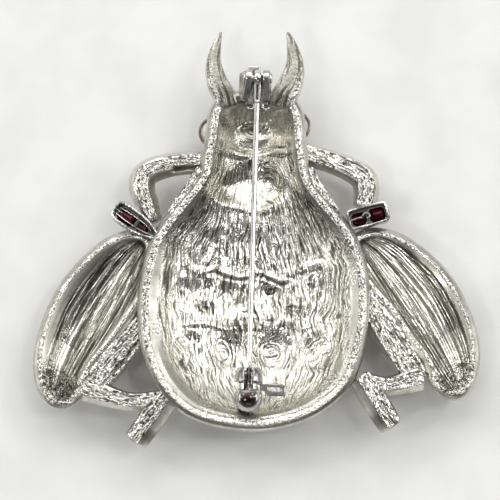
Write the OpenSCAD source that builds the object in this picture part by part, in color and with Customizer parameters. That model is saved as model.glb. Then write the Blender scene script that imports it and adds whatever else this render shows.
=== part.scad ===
// Insect brooch, lying on its domed front with its hollow back up.
// +Z is up, towards the back, +Y runs from the tail to the horns, and lengths are millimetres.
// The casting is drawn from the plane of its rim, with the tail at y = 0, and then moved, so that
// its front just meets z = 0 and its outline is centred.

/* [Body] */
// Length of the body, from the tail to the brow
body_l = 42.2; // [40:0.1:45]
// Width of the abdomen at its widest
body_w = 28; // [26.5:0.1:29.5]
// Depth of the hollow in the abdomen, under its rim
hollow_d = 5.4; // [4.8:0.1:6]
// Thickness of the cast wall
wall = 1.2; // [1:0.05:1.5]
// Width of the flat rim round the hollow
rim_w = 0.85; // [0.65:0.05:1.05]
// How much lower the rim lies at the brow than at the tail
rim_fall = 0.8; // [0.5:0.1:1.1]
// How far the outer edge stands out past the rim
flare = 0.75; // [0.55:0.05:0.9]
// How far below the rim the outer edge is widest
drop = 1.3; // [1:0.05:1.5]

/* [Relief] */
// Radius of the round domes across the abdomen
dome_r = 2.7; // [2.4:0.1:3]
// Height of those domes
dome_d = 0.75; // [0.55:0.05:0.9]
// Height of the cross ridges between the segments
ridge_d = 0.55; // [0.35:0.05:0.75]
// Breadth of a cross ridge
ridge_w = 0.9; // [0.7:0.05:1.1]

/* [Wings] */
// Length of the left wing, from its root to its tip
wing_l_left = 23.7; // [22.5:0.1:25]
// Length of the right wing, from its root to its tip
wing_l_right = 23.4; // [22.2:0.1:24.6]
// Width of the left wing, out from the line between root and tip
wing_w_left = 6.6; // [6.2:0.1:7.1]
// Width of the right wing, out from the line between root and tip
wing_w_right = 7.3; // [6.8:0.1:7.8]
// Angle of the left wing from the body's axis
wing_lean_left = 29.5; // [28:0.5:31]
// Angle of the right wing from the body's axis
wing_lean_right = 33.4; // [32:0.1:35]
// Depth of the hollow in a wing
wing_d = 1.7; // [1.4:0.1:2.1]
// Width of the rim round a wing
wing_rim_w = 0.45; // [0.35:0.05:0.6]
// How far a wing's rim lies under the body's
wing_low = 1.1; // [0.8:0.1:1.4]

/* [Legs] */
// How far a front leg reaches out from the body
leg_reach = 7.8; // [7.4:0.1:8.2]
// How far a front leg comes back towards the tail
leg_back = 6.9; // [6.6:0.1:7.2]
// Width of a front leg
leg_w = 2.6; // [2.3:0.1:2.9]
// Width of a hind thigh
thigh_w = 3.4; // [3:0.1:3.7]
// Width of a hind shin
shin_w = 2.3; // [2:0.1:2.6]
// Width of a hind foot
foot_w = 3; // [2.7:0.1:3.3]
// Length of a hind foot
foot_l = 7.2; // [6.6:0.1:7.8]
// Depth of a leg, from back to front
leg_h = 2.6; // [2.3:0.1:2.9]
// How far a leg's back lies under the rim
leg_low = 0.5; // [0.3:0.05:0.7]

/* [Horns] */
// Length of a horn, up from the brow
horn_l = 8.6; // [7.8:0.1:9.4]
// How far a horn bows out from the body's axis
horn_out = 5.15; // [4.85:0.05:5.4]
// Width of the left horn at its root
horn_w_left = 2.9; // [2.6:0.1:3.2]
// Width of the right horn at its root
horn_w_right = 3.3; // [3:0.1:3.6]
// Depth of a horn at its root
horn_h = 2.2; // [1.8:0.1:2.6]

/* [Eyes] */
// Radius of an eye stone
eye_r = 1.65; // [1.5:0.05:1.75]
// Gap round an eye stone
eye_gap = 0.06; // [0.04:0.01:0.1]
// Thickness of the bezel round an eye stone
bezel_t = 0.3; // [0.25:0.05:0.4]
// Height of that bezel
bezel_h = 0.9; // [0.7:0.1:1.1]
// How far the eyes lie under the rim
eye_low = 3.7; // [3.5:0.1:3.9]

/* [Front feet] */
// Length of the left front foot's setting
seat_l_left = 7; // [6.6:0.1:7.4]
// Length of the right front foot's setting
seat_l_right = 5.2; // [5:0.1:5.6]
// Width of a front foot's setting
seat_w = 2.7; // [2.5:0.05:2.9]
// Depth of a front foot's setting
seat_h = 2.3; // [2:0.1:2.6]
// How far a setting's back lies under the rim
seat_low = 0.3; // [0.2:0.05:0.4]
// Thickness of a setting's rails
rail = 0.42; // [0.35:0.01:0.5]
// Gap round a stone in its setting
stone_gap = 0.06; // [0.04:0.01:0.1]
// Thickness of a stone, from its table to its keel
stone_h = 1.5; // [1.3:0.05:1.7]

/* [Pin and hinge] */
// Radius of the pin's wire
wire_r = 0.35; // [0.3:0.01:0.4]
// Lean of the pin from the body's axis
pin_lean = 1.7; // [1:0.1:2.4]
// How far the pin reaches into the catch
pin_in = 2.7; // [2.5:0.1:2.8]
// Radius of the hinge rivet
rivet_r = 0.38; // [0.34:0.01:0.45]
// Running gap round the rivet
rivet_gap = 0.04; // [0.03:0.01:0.06]
// Thickness of an ear of the hinge
ear_t = 0.85; // [0.7:0.05:1]
// Width of the slot between the ears
ear_slot = 1.3; // [1.15:0.05:1.5]
// Radius of an ear's rounded top
ear_r = 1; // [0.9:0.05:1.15]
// Height of the rivet over the brow's rim
rivet_h = 1.9; // [1.7:0.05:2.1]
// How far the rivet lies out past the brow
rivet_out = 1.6; // [1.4:0.1:1.8]

/* [Catch] */
// How far the catch's mouth lies from the tail
catch_in = 7.1; // [6.8:0.1:7.6]
// Length of the ring at the catch's mouth
mouth_l = 1.9; // [1.7:0.1:2.1]
// Radius of that ring
mouth_r = 1.85; // [1.75:0.05:2]
// Radius of its bore
mouth_bore = 1.15; // [1.05:0.05:1.2]
// Radius of the ball behind the ring
ball_r = 1.8; // [1.7:0.05:1.9]
// Width of the groove between ring and ball
groove_w = 1; // [0.9:0.05:1.1]
// Width of the slot that the pin drops into
slot_w = 1.1; // [1:0.05:1.2]
// Running gap round the collar
collar_gap = 0.06; // [0.04:0.01:0.09]
// Length of the thumb lever from the pin's axis
lever_l = 4.6; // [4.2:0.1:5]

/* [Hidden] */
silver = [0.82, 0.82, 0.8];
steel = [0.7, 0.7, 0.7];
red = [0.5, 0.02, 0.08];
milk = [0.92, 0.9, 0.86];
half_w = body_w / 2;
left = -1;
right = 1;
// A thin overlap that makes soldered pieces one solid
melt = 0.3;
round_fn = 48;

// Body outline, from the tail to the brow. Columns: along as a share of body_l,
// left and right half widths as shares of half_w.
BODY = [
    [0.000, 0.00, 0.00],
    [0.009, 0.28, 0.24],
    [0.033, 0.53, 0.47],
    [0.068, 0.69, 0.65],
    [0.112, 0.81, 0.79],
    [0.163, 0.90, 0.88],
    [0.231, 0.97, 0.94],
    [0.311, 1.00, 0.98],
    [0.393, 1.00, 0.99],
    [0.473, 0.96, 0.97],
    [0.547, 0.90, 0.90],
    [0.607, 0.79, 0.79],
    [0.666, 0.65, 0.64],
    [0.716, 0.53, 0.52],
    [0.763, 0.45, 0.46],
    [0.814, 0.43, 0.44],
    [0.858, 0.40, 0.42],
    [0.911, 0.38, 0.41],
    [0.955, 0.35, 0.38],
    [0.988, 0.23, 0.27],
    [1.000, 0.00, 0.00],
];

// Depth of the hollow down the body's middle. Columns: along, depth as a share of hollow_d.
DEPTH = [[0, 0.85], [0.15, 0.95], [0.25, 1], [0.42, 1], [0.5, 0.94], [0.6, 0.88],
         [0.68, 0.84], [0.76, 0.84], [0.84, 0.84], [0.93, 0.84], [1, 0.8]];

// Round domes. Columns: along, across as a share of half_w, radius as a share of dome_r,
// height as a share of dome_d.
DOMES = [
    [0.231, -0.60, 1.0, 0.8],
    [0.231, -0.20, 1.0, 1.0],
    [0.231, 0.20, 1.0, 1.0],
    [0.231, 0.60, 1.0, 0.8],
    [0.388, -0.60, 1.0, 0.7],
    [0.388, -0.20, 1.0, 0.9],
    [0.388, 0.20, 1.0, 0.9],
    [0.388, 0.60, 1.0, 0.7],
    [0.735, 0.00, 1.3, 0.9],
    [0.900, 0.00, 1.4, 1.0],
];

// Cross ridges. Columns: along, reach as a share of half_w, bow as a share of body_l,
// height as a share of ridge_d.
RIDGES = [
    [0.311, 0.80, 0.00, 0.8],
    [0.466, 0.70, 0.02, 1.0],
    [0.660, 0.34, 0.03, 0.7],
    [0.830, 0.36, 0.00, 1.0],
];

// Wing outline, from root to tip. Columns: along as a share of the wing's length, then the outer edge and
// the inner edges of the left and the right wing, as shares of the wing's width.
WING = [
    [0.00, 0.12, 0.12, 0.12],
    [0.03, 0.42, -0.08, -0.08],
    [0.11, 0.67, -0.20, -0.18],
    [0.20, 0.82, -0.30, -0.20],
    [0.30, 0.92, -0.35, -0.13],
    [0.41, 0.99, -0.28, -0.04],
    [0.52, 1.00, -0.22, -0.01],
    [0.63, 0.95, -0.15, 0.01],
    [0.73, 0.87, -0.10, 0.03],
    [0.81, 0.77, -0.18, -0.08],
    [0.88, 0.64, -0.28, -0.19],
    [0.94, 0.46, -0.24, -0.15],
    [0.98, 0.29, -0.13, -0.07],
    [1.00, 0.08, 0.08, 0.08],
];
// Depth of the hollow in a wing. Columns: along, depth as a share of wing_d.
WING_DEPTH = [[0, 0.8], [0.2, 1], [0.7, 1], [0.8, 0.75], [0.87, 0.25], [1, 0.1]];

// Front legs. Columns: out as a share of leg_reach, back as a share of leg_back, width as a share of leg_w.
LEG_LEFT = [
    [-0.06, 0.00, 0.95],
    [0.30, 0.00, 1.02],
    [0.62, 0.04, 1.06],
    [0.90, 0.14, 1.12],
    [1.02, 0.28, 1.16],
    [1.03, 0.50, 1.14],
    [0.95, 0.74, 1.00],
    [0.83, 1.10, 0.74],
];
LEG_RIGHT = [
    [-0.06, -0.02, 0.95],
    [0.25, 0.11, 1.00],
    [0.57, 0.22, 1.06],
    [0.84, 0.35, 1.14],
    [1.01, 0.50, 1.20],
    [1.05, 0.72, 1.18],
    [0.99, 1.06, 1.00],
];
leg_root_left = 0.794;
leg_root_right = 0.829;

// Hind legs. Columns: side, then hip, knee and ankle, each out as a share of half_w and along
// as a share of body_l, and the angle of the foot from the body's axis.
HIND = [
    [left, 0.98, 0.310, 1.48, 0.108, 0.765, 0.084, 36],
    [right, 0.99, 0.395, 1.45, 0.150, 0.95, 0.136, 32],
];

// Horn, from root to tip. Columns: up as a share of horn_l, out as a share of horn_out, and the
// width as a share of the horn's own.
HORN = [
    [0.04, 0.74, 1.05],
    [0.20, 0.88, 0.98],
    [0.40, 0.98, 0.84],
    [0.58, 1.00, 0.65],
    [0.78, 0.94, 0.44],
    [0.92, 0.87, 0.25],
    [1.00, 0.82, 0.10],
];
horn_root = 0.5;

// Front feet. Columns: half length share, half width share, round the setting's outline
SEAT_LEFT = [[-1, 0.6], [-0.86, 0.92], [-0.5, 1], [0, 0.98], [0.4, 0.8], [0.75, 0.45], [1, 0.12]];
SEAT_RIGHT = [[-1, 0.7], [-0.9, 0.95], [0, 1], [0.85, 0.95], [1, 0.75]];
// Stones. Columns: side, place along the setting as a share of its half length,
// length as a share of the setting's, and width as a share of the room between its rails.
STONES = [
    [left, -0.45, 0.35, 1.00],
    [left, 0.24, 0.23, 0.80],
    [right, 0.46, 0.40, 1.00],
    [right, -0.44, 0.36, 0.95],
];

// Shares of the way to the middle at which the rings of a hollow and of a front lie
BODY_RINGS = [0.03, 0.08, 0.15, 0.23, 0.31, 0.39, 0.47, 0.55, 0.63, 0.71, 0.79, 0.87, 0.95];
WING_RINGS = [0.07, 0.17, 0.3, 0.45, 0.6, 0.76, 0.92];
back_curve = 2.6;
front_curve = 2.2;

// Small sums
function sq(x) = x * x;
function total(v, i = 0) = i == len(v) ? 0 : v[i] + total(v, i + 1);
function unit(v) = v / norm(v);
function mid(a, b) = (a + b) / 2;
function hump(share) = let (q = 1 - share) q <= 0 ? 0 : q * q * (3 - 2 * q);

// Closed smooth curve through points, with one point between each two
function half_way(a, b, c, d) = (9 * (b + c) - a - d) / 16;
function closed_curve(p) = let (n = len(p)) [
    for (i = [0 : n - 1]) each [
        p[i],
        half_way(p[(i + n - 1) % n], p[i], p[(i + 1) % n], p[(i + 2) % n])
    ]
];

// Outlines run up the left and come down the right, so that point i lies across from point n - i
function out_and_back(first, second) = let (n = len(first)) concat(
    first, [for (i = [n - 2 : -1 : 1]) second[i]]
);
function normals(p) = let (n = len(p)) [
    for (i = [0 : n - 1]) let (d = p[(i + 1) % n] - p[(i + n - 1) % n]) unit([-d.y, d.x])
];
function grown(p, by) = let (m = normals(p)) [for (i = [0 : len(p) - 1]) p[i] + m[i] * by];
function towards(a, b, s) = [for (i = [0 : len(a) - 1]) a[i] + (b[i] - a[i]) * s];
function at_height(p, z) = [for (q = p) [q.x, q.y, z(q)]];

// Rings of a shell: from the middle of its hollow, over its rim and outer edge, to the middle of its front.
// hollow and front say how deep a point lies under the rim at a share of the way to the middle.
function shell_rings(loop, middle, shares, rim, edge, low, top, hollow, front) =
    let (inner = grown(loop, -rim), outer = grown(loop, edge), m = len(shares)) concat(
        [for (i = [m - 1 : -1 : 0]) let (s = shares[i])
            at_height(towards(inner, middle, s), function(q) top(q) - hollow(q, s))],
        [at_height(inner, top)],
        [at_height(loop, top)],
        [at_height(grown(loop, edge * 0.7), function(q) top(q) - low * 0.35)],
        [at_height(outer, function(q) top(q) - low)],
        [for (s = shares) at_height(towards(outer, middle, s), function(q) top(q) - front(q, s))]
    );
function turned(face, over) = over ? [face[2], face[1], face[0]] : face;
function middle_strip(o, n, over) = concat(
    [turned([o, o + 1, o + n - 1], over), turned([o + n / 2, o + n / 2 + 1, o + n / 2 - 1], over)],
    [for (i = [1 : n / 2 - 2]) each [
        turned([o + i, o + i + 1, o + n - i], over),
        turned([o + i + 1, o + n - i - 1, o + n - i], over)
    ]]
);
module ring_solid(rings) {
    n = len(rings[0]);
    last = len(rings) - 1;
    sides = [for (k = [0 : last - 1], i = [0 : n - 1]) let (j = (i + 1) % n) each [
        [k * n + i, (k + 1) * n + i, (k + 1) * n + j],
        [k * n + i, (k + 1) * n + j, k * n + j]
    ]];
    polyhedron(
        points = [for (r = rings) each r],
        faces = concat(sides, middle_strip(0, n, false), middle_strip(last * n, n, true)),
        convexity = 10
    );
}

// Body
body_loop = closed_curve(out_and_back(
    [for (row = BODY) [-row[1] * half_w, row[0] * body_l]],
    [for (row = BODY) [row[2] * half_w, row[0] * body_l]]
));
tail_round = 0.22 * body_l;
brow_round = 0.09 * body_l;
function blunt(y, long, start, end) =
    y < 2 * start ? start + y / 2 : y > long - 2 * end ? (y + long - 2 * end) / 2 : y;
function rim_z(q) = -rim_fall * q.y / body_l;
function domes_at(q) = total([
    for (d = DOMES) let (away = [q.x - d[1] * half_w, q.y - d[0] * body_l])
        d[3] * dome_d * hump(away * away / sq(d[2] * dome_r))
]);
function ridges_at(q) = total([
    for (r = RIDGES) let (reach = r[1] * half_w, line = (r[0] + r[2] * sq(q.x / reach)) * body_l)
        r[3] * ridge_d * hump(sq((q.y - line) / ridge_w)) * hump(pow(abs(q.x) / reach, 4))
]);
function relief(q, s) = (domes_at(q) - ridges_at(q)) * min(1, s * 6);
function body_depth(q) = hollow_d * lookup(q.y / body_l, DEPTH);
body_rings = shell_rings(
    body_loop, [for (q = body_loop) [0, blunt(q.y, body_l, tail_round, brow_round)]],
    BODY_RINGS, rim_w, flare, drop, function(q) rim_z(q),
    function(q, s) body_depth(q) * (1 - pow(1 - s, back_curve)) + relief(q, s),
    function(q, s) drop + (body_depth(q) + wall - drop) * (1 - pow(1 - s, front_curve)) + relief(q, s)
);
// Place on the body's outline at a share of its length
function on_side(side, along) = let (widths = [for (row = BODY) [row[0], row[side < 0 ? 1 : 2]]])
    [side * half_w * lookup(along, widths), along * body_l];

// Wings. A wing's own x points away from the body and its y from root to tip.
wing_root = 0.555;
wing_blunt = 0.1;
wing_slope = 0.12;
wing_thin = 0.7;
function wing_l(side) = side < 0 ? wing_l_left : wing_l_right;
function wing_w(side) = side < 0 ? wing_w_left : wing_w_right;
function wing_lean(side) = side < 0 ? wing_lean_left : wing_lean_right;
wing_out_left = 0.06;
wing_out_right = 0.01;
function wing_base(side) =
    on_side(side, wing_root) + [side * half_w * (side < 0 ? wing_out_left : wing_out_right), 0];
function wing_out(side, q) = let (a = wing_lean(side))
    wing_base(side) + [side * (q.x * cos(a) + q.y * sin(a)), q.x * sin(a) - q.y * cos(a)];
function wing_in(side, p) = let (a = wing_lean(side), d = p - wing_base(side))
    [side * d.x * cos(a) + d.y * sin(a), side * d.x * sin(a) - d.y * cos(a)];
function wing_edge(side, column) = [
    for (row = WING) wing_out(side, [row[column] * wing_w(side), row[0] * wing_l(side)])
];
function wing_loop(side) = closed_curve(side < 0
    ? out_and_back(wing_edge(side, 2), wing_edge(side, 1))
    : out_and_back(wing_edge(side, 1), wing_edge(side, 3)));
function wing_middle(side, p) = let (long = wing_l(side), end = wing_blunt * long,
        y = blunt(wing_in(side, p).y, long, end, end))
    wing_out(side, [wing_w(side) * lookup(y / long, [[0, 0.2], [0.4, 0.3], [0.8, 0.25], [1, 0.08]]), y]);
function wing_top(side, p) = rim_z([0, wing_root * body_l]) - wing_low - wing_slope * wing_in(side, p).x;
function wing_hollow(side, p) = wing_d * lookup(wing_in(side, p).y / wing_l(side), WING_DEPTH);
function wing_rings(side) = let (loop = wing_loop(side)) shell_rings(
    loop, [for (p = loop) wing_middle(side, p)],
    WING_RINGS, wing_rim_w, flare, drop * wing_thin, function(p) wing_top(side, [p.x, p.y]),
    function(p, s) wing_hollow(side, p) * (1 - pow(1 - s, back_curve)),
    function(p, s) drop * wing_thin
        + (wing_hollow(side, p) + wall - drop * wing_thin) * (1 - pow(1 - s, front_curve))
);

// Bars for legs and horns, swept along a path, with a flat back that is narrower than the front.
// Columns: share of the way from the back's width to the full width, height as a share of half the depth.
BAR = [[0, 1], [0.25, 0.86], [0.7, 0.3], [1, -0.25], [0.9, -0.65], [0.3, -1]];
function bar_point(row, w, h, back) = [w / 2 * (back + (1 - back) * row[0]), h / 2 * row[1]];
function bar_section(w, h, back) = let (last = len(BAR) - 1) concat(
    [for (i = [last : -1 : 0]) bar_point(BAR[i], w, h, back)],
    [for (i = [0 : last]) let (q = bar_point(BAR[i], w, h, back)) [-q.x, q.y]]
);
function bar_rings(path, widths, depths, back) = let (n = len(path)) [
    for (i = [0 : n - 1])
        let (d = path[min(i + 1, n - 1)] - path[max(i - 1, 0)], out = unit([d.y, -d.x]))
        [for (q = bar_section(widths[i], depths[i], back)) path[i] + [out.x * q.x, out.y * q.x, q.y]]
];
// Widths of the flat backs, as shares of the full widths
leg_back_share = 0.5;
strip_back_share = 0.7;
thigh_back_share = 0.8;
shin_back_share = 0.65;
foot_back_share = 0.72;
horn_back_share = 0.8;
module bar_solid(rings) {
    n = len(rings);
    m = len(rings[0]);
    sides = [for (k = [0 : n - 2], i = [0 : m - 1]) let (j = (i + 1) % m) each [
        [k * m + i, k * m + j, (k + 1) * m + j],
        [k * m + i, (k + 1) * m + j, (k + 1) * m + i]
    ]];
    polyhedron(
        points = [for (r = rings) each r],
        faces = concat(sides, [[for (i = [m - 1 : -1 : 0]) i]], [[for (i = [0 : m - 1]) (n - 1) * m + i]]),
        convexity = 6
    );
}

// Front legs
leg_fall = 0.1;
function leg_path(side) = let (from = on_side(side, side < 0 ? leg_root_left : leg_root_right)) [
    for (row = side < 0 ? LEG_LEFT : LEG_RIGHT)
        let (out = max(0, row[0]) * leg_reach)
        [from.x + side * row[0] * leg_reach, from.y - row[1] * leg_back,
         rim_z(from) - leg_low - leg_h / 2 - leg_fall * out]
];
function leg_rings(side) = bar_rings(
    leg_path(side),
    [for (row = side < 0 ? LEG_LEFT : LEG_RIGHT) row[2] * leg_w],
    [for (row = side < 0 ? LEG_LEFT : LEG_RIGHT) row[0] < 0 ? leg_h * 0.6 : leg_h],
    leg_back_share
);
// Strips that run down the rim beside the front legs
strip_w = 0.45 * leg_w;
strip_h = 0.75 * leg_h;
STRIP = [[0.775, 0.04], [0.725, 0.06], [0.68, 0.05], [0.63, 0.02]];
function strip_rings(side) = bar_rings(
    [for (row = STRIP) let (q = on_side(side, row[0]))
        [q.x + side * row[1] * half_w, q.y, rim_z(q) - leg_low / 2 - strip_h / 2]],
    [for (row = STRIP) strip_w],
    [for (row = STRIP) strip_h],
    strip_back_share
);

// Hind legs
shin_h = 0.75 * leg_h;
function hind_at(row, column, low) = let (q = [row[0] * row[column] * half_w, row[column + 1] * body_l])
    [q.x, q.y, rim_z(q) - low];
function thigh_rings(row) = let (
        hip = hind_at(row, 1, leg_low + leg_h * 0.4),
        knee = hind_at(row, 3, wing_low + leg_h / 2)) bar_rings(
    [hip, mid(hip, knee) - [0, 0, leg_h * 0.1], knee],
    [thigh_w * 0.8, thigh_w * 1.04, thigh_w * 0.86],
    [leg_h * 0.55, leg_h, leg_h * 0.9],
    thigh_back_share
);
function shin_rings(row) = let (
        knee = hind_at(row, 3, wing_low + shin_h / 2),
        ankle = hind_at(row, 5, leg_low + shin_h / 2)) bar_rings(
    [knee - [0, thigh_w * 0.33, 0], mid(knee, ankle) - [0, thigh_w * 0.3, 0], ankle],
    [shin_w * 1.1, shin_w, shin_w],
    [shin_h, shin_h, shin_h],
    shin_back_share
);
function foot_rings(row) = let (ankle = hind_at(row, 5, leg_low + shin_h / 2), a = row[7],
        way = [row[0] * sin(a), -cos(a), -0.05]) bar_rings(
    [ankle - way * foot_l * 0.06, ankle + way * foot_l * 0.45, ankle + way * foot_l],
    [foot_w * 0.95, foot_w, foot_w * 0.9],
    [shin_h, shin_h, shin_h * 0.8],
    foot_back_share
);

// Horns
function horn_rings(side) = let (w = side < 0 ? horn_w_left : horn_w_right) bar_rings(
    [for (row = HORN) [side * row[1] * horn_out, body_l - horn_root + row[0] * horn_l,
        rim_z([0, body_l]) - leg_low - horn_h / 2]],
    [for (row = HORN) row[2] * w],
    [for (row = HORN) horn_h * (0.35 + 0.65 * min(1, row[2]))],
    horn_back_share
);

// Where the outline and the front end, and the move that centres the piece on z = 0
outer_points = [
    for (side = [left, right]) each [for (r = concat(wing_rings(side), horn_rings(side))) each r],
    for (row = HIND) each [for (r = foot_rings(row)) each r]
];
xs = [for (p = outer_points) p.x];
ys = [for (p = outer_points) p.y];
front_z = min([for (r = body_rings) each [for (p = r) p.z]]);
home = [-mid(min(xs), max(xs)), -mid(min(ys), max(ys)), -front_z];

// Eyes
EYE_LEFT = [-0.365, 0.893];
EYE_RIGHT = [0.370, 0.912];
function eye_at(side) =
    let (share = side < 0 ? EYE_LEFT : EYE_RIGHT, q = [share.x * half_w, share.y * body_l])
    [q.x, q.y, rim_z(q) - eye_low];
module eye_bezel(side) {
    translate(eye_at(side) - [0, 0, bezel_h / 2])
        cylinder(r = eye_r + eye_gap + bezel_t, h = bezel_h, $fn = round_fn);
}
module eye_socket(side) {
    translate(eye_at(side)) sphere(r = eye_r + eye_gap, $fn = round_fn);
    translate(eye_at(side) - [0, 0, 2 * eye_r]) cylinder(r = eye_r + eye_gap, h = 2 * eye_r, $fn = round_fn);
}
module eye(side) {
    translate(eye_at(side)) sphere(r = eye_r, $fn = round_fn);
}

// Front feet: a channel setting with a window for each stone, held by the end of its leg. Columns: side,
// out and along from the leg's end as shares of seat_w, and its angle.
SEATS = [
    [left, 0.82, -0.13, -35],
    [right, 0.22, -0.42, 15],
];
function seat_l(side) = side < 0 ? seat_l_left : seat_l_right;
function seat_row(side) = SEATS[side < 0 ? 0 : 1];
module at_seat(side) {
    row = seat_row(side);
    path = leg_path(side);
    end = path[len(path) - 1];
    q = [end.x + side * row[1] * seat_w, end.y + row[2] * seat_w];
    translate([q.x, q.y, rim_z(q) - seat_low - seat_h]) rotate([0, 0, row[3]]) children();
}
function seat_outline(side) = let (
        half = [seat_l(side), seat_w] / 2,
        edge = [for (row = side < 0 ? SEAT_LEFT : SEAT_RIGHT) [row[0] * half.x, row[1] * half.y]]) concat(
    edge,
    [for (i = [len(edge) - 1 : -1 : 0]) [edge[i].x, -edge[i].y]]
);
// Eight-sided outline of a stone, or of its window
function eight(l, w, cut) = [
    [l / 2, w / 2 - cut], [l / 2 - cut, w / 2], [cut - l / 2, w / 2], [-l / 2, w / 2 - cut],
    [-l / 2, cut - w / 2], [cut - l / 2, -w / 2], [l / 2 - cut, -w / 2], [l / 2, cut - w / 2]
];
stone_cut = 0.3;
function stone_l(row) = row[2] * seat_l(row[0]);
function stone_w(row) = row[3] * (seat_w - 2 * (rail + stone_gap));
function stone_x(row) = row[1] * seat_l(row[0]) / 2;
module windows() {
    for (row = STONES)
        at_seat(row[0]) translate([stone_x(row), 0, -2 * seat_h])
            linear_extrude(4 * seat_h)
                polygon(eight(stone_l(row) + 2 * stone_gap, stone_w(row) + 2 * stone_gap, stone_cut));
}
module seat(side) {
    at_seat(side) linear_extrude(seat_h) polygon(seat_outline(side));
}
// A cut stone with its table to the front: table, crown, girdle and keeled pavilion
module stone(row) {
    l = stone_l(row);
    w = stone_w(row);
    levels = [
        [0, eight(l * 0.7, w * 0.6, stone_cut * 0.7)],
        [stone_h * 0.25, eight(l, w, stone_cut)],
        [stone_h * 0.35, eight(l, w, stone_cut)],
        [stone_h * 0.75, eight(l * 0.72, w * 0.5, stone_cut * 0.6)],
        [stone_h, eight(l * 0.5, w * 0.12, stone_cut * 0.12)]
    ];
    at_seat(row[0]) translate([stone_x(row), 0, (seat_h - stone_h) / 2]) polyhedron(
        points = [for (level = levels) each [for (q = level[1]) [q.x, q.y, level[0]]]],
        faces = concat(
            [[for (i = [0 : 7]) i]],
            [for (k = [0 : 8 : 24], i = [0 : 7]) let (j = (i + 1) % 8) [k + i, k + 8 + i, k + 8 + j, k + j]],
            [[for (i = [7 : -1 : 0]) 32 + i]]
        )
    );
}

// Pin and findings. Their own frame has its origin on the rivet and its -y along the pin.
rivet_at = [0.03 * half_w, body_l + rivet_out, rim_z([0, body_l]) + rivet_h];
plate_t = 0.9;
plate_back = 3.6;
ears_w = 2 * ear_t + ear_slot;
mouth_at = (rivet_at.y - catch_in) / cos(pin_lean);
pin_l = mouth_at + pin_in;
rear_at = mouth_at + mouth_l + groove_w;
module at_rivet() {
    translate(rivet_at) rotate([0, 0, -pin_lean]) children();
}
module along_pin(from) {
    translate([0, -from, 0]) rotate([90, 0, 0]) children();
}
module across_pin(from) {
    translate([from, 0, 0]) rotate([0, 90, 0]) children();
}

// Hinge: a soldered plate, two ears and the tab that stops the pin
ear_foot = 2.7;
tab_w = 1.5;
tab_t = 0.6;
module ear(x0) {
    across_pin(x0) cylinder(r = ear_r, h = ear_t, $fn = round_fn);
    translate([x0, 0, 0]) rotate([90, 0, 90]) linear_extrude(ear_t) polygon([
        [-ear_foot, -rivet_h - melt], [ear_r, -rivet_h - melt], [ear_r, 0],
        [-ear_r * 0.5, ear_r * 0.866], [-ear_foot, -rivet_h + 0.6]
    ]);
}
module hinge() {
    at_rivet() difference() {
        union() {
            ear(-ears_w / 2);
            ear(ear_slot / 2);
            translate([-ears_w / 2, -plate_back, -rivet_h - plate_t])
                cube([ears_w, plate_back + ear_r, plate_t]);
            translate([-tab_w * 0.8, ear_r - melt, -rivet_h - plate_t])
                cube([tab_w, tab_t + melt, plate_t + rivet_h * 0.75]);
        }
        across_pin(-ears_w) cylinder(r = rivet_r + rivet_gap, h = 2 * ears_w, $fn = round_fn);
    }
}
head_r = 0.68;
head_t = 0.32;
module hinge_rivet() {
    color(steel) translate(home) at_rivet() {
        reach = ears_w / 2 + rivet_gap;
        across_pin(-reach) cylinder(r = rivet_r, h = 2 * reach, $fn = round_fn);
        across_pin(reach) cylinder(r = head_r, h = head_t, $fn = round_fn);
        across_pin(-reach - head_t) cylinder(r = head_r, h = head_t, $fn = round_fn);
    }
}

// Pin: an eye round the rivet, a forked neck, a round wire and a point
knuckle_r = 0.9;
knuckle_w = 0.85;
neck_l = 3.3;
neck_h = 1;
fork_w = 0.28;
point_l = 3;
point_r = 0.1;
module pin_stem() {
    color(steel) translate(home) at_rivet() difference() {
        union() {
            across_pin(-knuckle_w / 2) cylinder(r = knuckle_r, h = knuckle_w, $fn = round_fn);
            translate([-knuckle_w / 2, -neck_l, -neck_h / 2]) cube([knuckle_w, neck_l, neck_h]);
            along_pin(neck_l - melt)
                cylinder(r = wire_r, h = pin_l - point_l - neck_l + melt, $fn = round_fn);
            along_pin(pin_l - point_l) cylinder(r1 = wire_r, r2 = point_r, h = point_l, $fn = round_fn);
        }
        across_pin(-knuckle_w) cylinder(r = rivet_r + rivet_gap, h = 2 * knuckle_w, $fn = round_fn);
        translate([-fork_w / 2, fork_w - neck_l, -neck_h])
            cube([fork_w, neck_l - knuckle_r - 2 * fork_w, 2 * neck_h]);
    }
}

// Catch: a slotted ring and a ball on one foot, with the collar's groove between them
foot_top = 1.5;
bridge_t = 0.7;
post_w = 1.8;
post_l = 1.6;
ball_at = rear_at + ball_r * 0.5;
foot_end = ball_at + ball_r * 0.6;
post_y = rivet_at.y - foot_end + post_l / 2;
post_share = (post_y - rim_w) / (tail_round - rim_w);
post_z = rim_z([0, post_y]) - body_depth([0, post_y]) * (1 - pow(1 - post_share, back_curve)) - wall * 0.4;
module catch() {
    at_rivet() {
        difference() {
            union() {
                along_pin(mouth_at) cylinder(r = mouth_r, h = mouth_l, $fn = round_fn);
                intersection() {
                    translate([0, -ball_at, 0]) sphere(r = ball_r, $fn = round_fn);
                    translate([-ball_r, -rear_at - 2 * ball_r, -ball_r]) cube(2 * ball_r);
                }
            }
            along_pin(mouth_at - melt)
                cylinder(r = mouth_bore, h = melt + mouth_l + groove_w, $fn = round_fn);
            translate([-slot_w / 2, -mouth_at - mouth_l - melt, 0])
                cube([slot_w, mouth_l + 2 * melt, 2 * mouth_r]);
        }
        translate([-post_w / 2, -foot_end, -foot_top - bridge_t])
            cube([post_w, foot_end - mouth_at, bridge_t]);
        translate([-post_w * 0.75, -foot_end, post_z - rivet_at.z])
            cube([post_w, post_l, rivet_at.z - foot_top - post_z]);
    }
}

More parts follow.
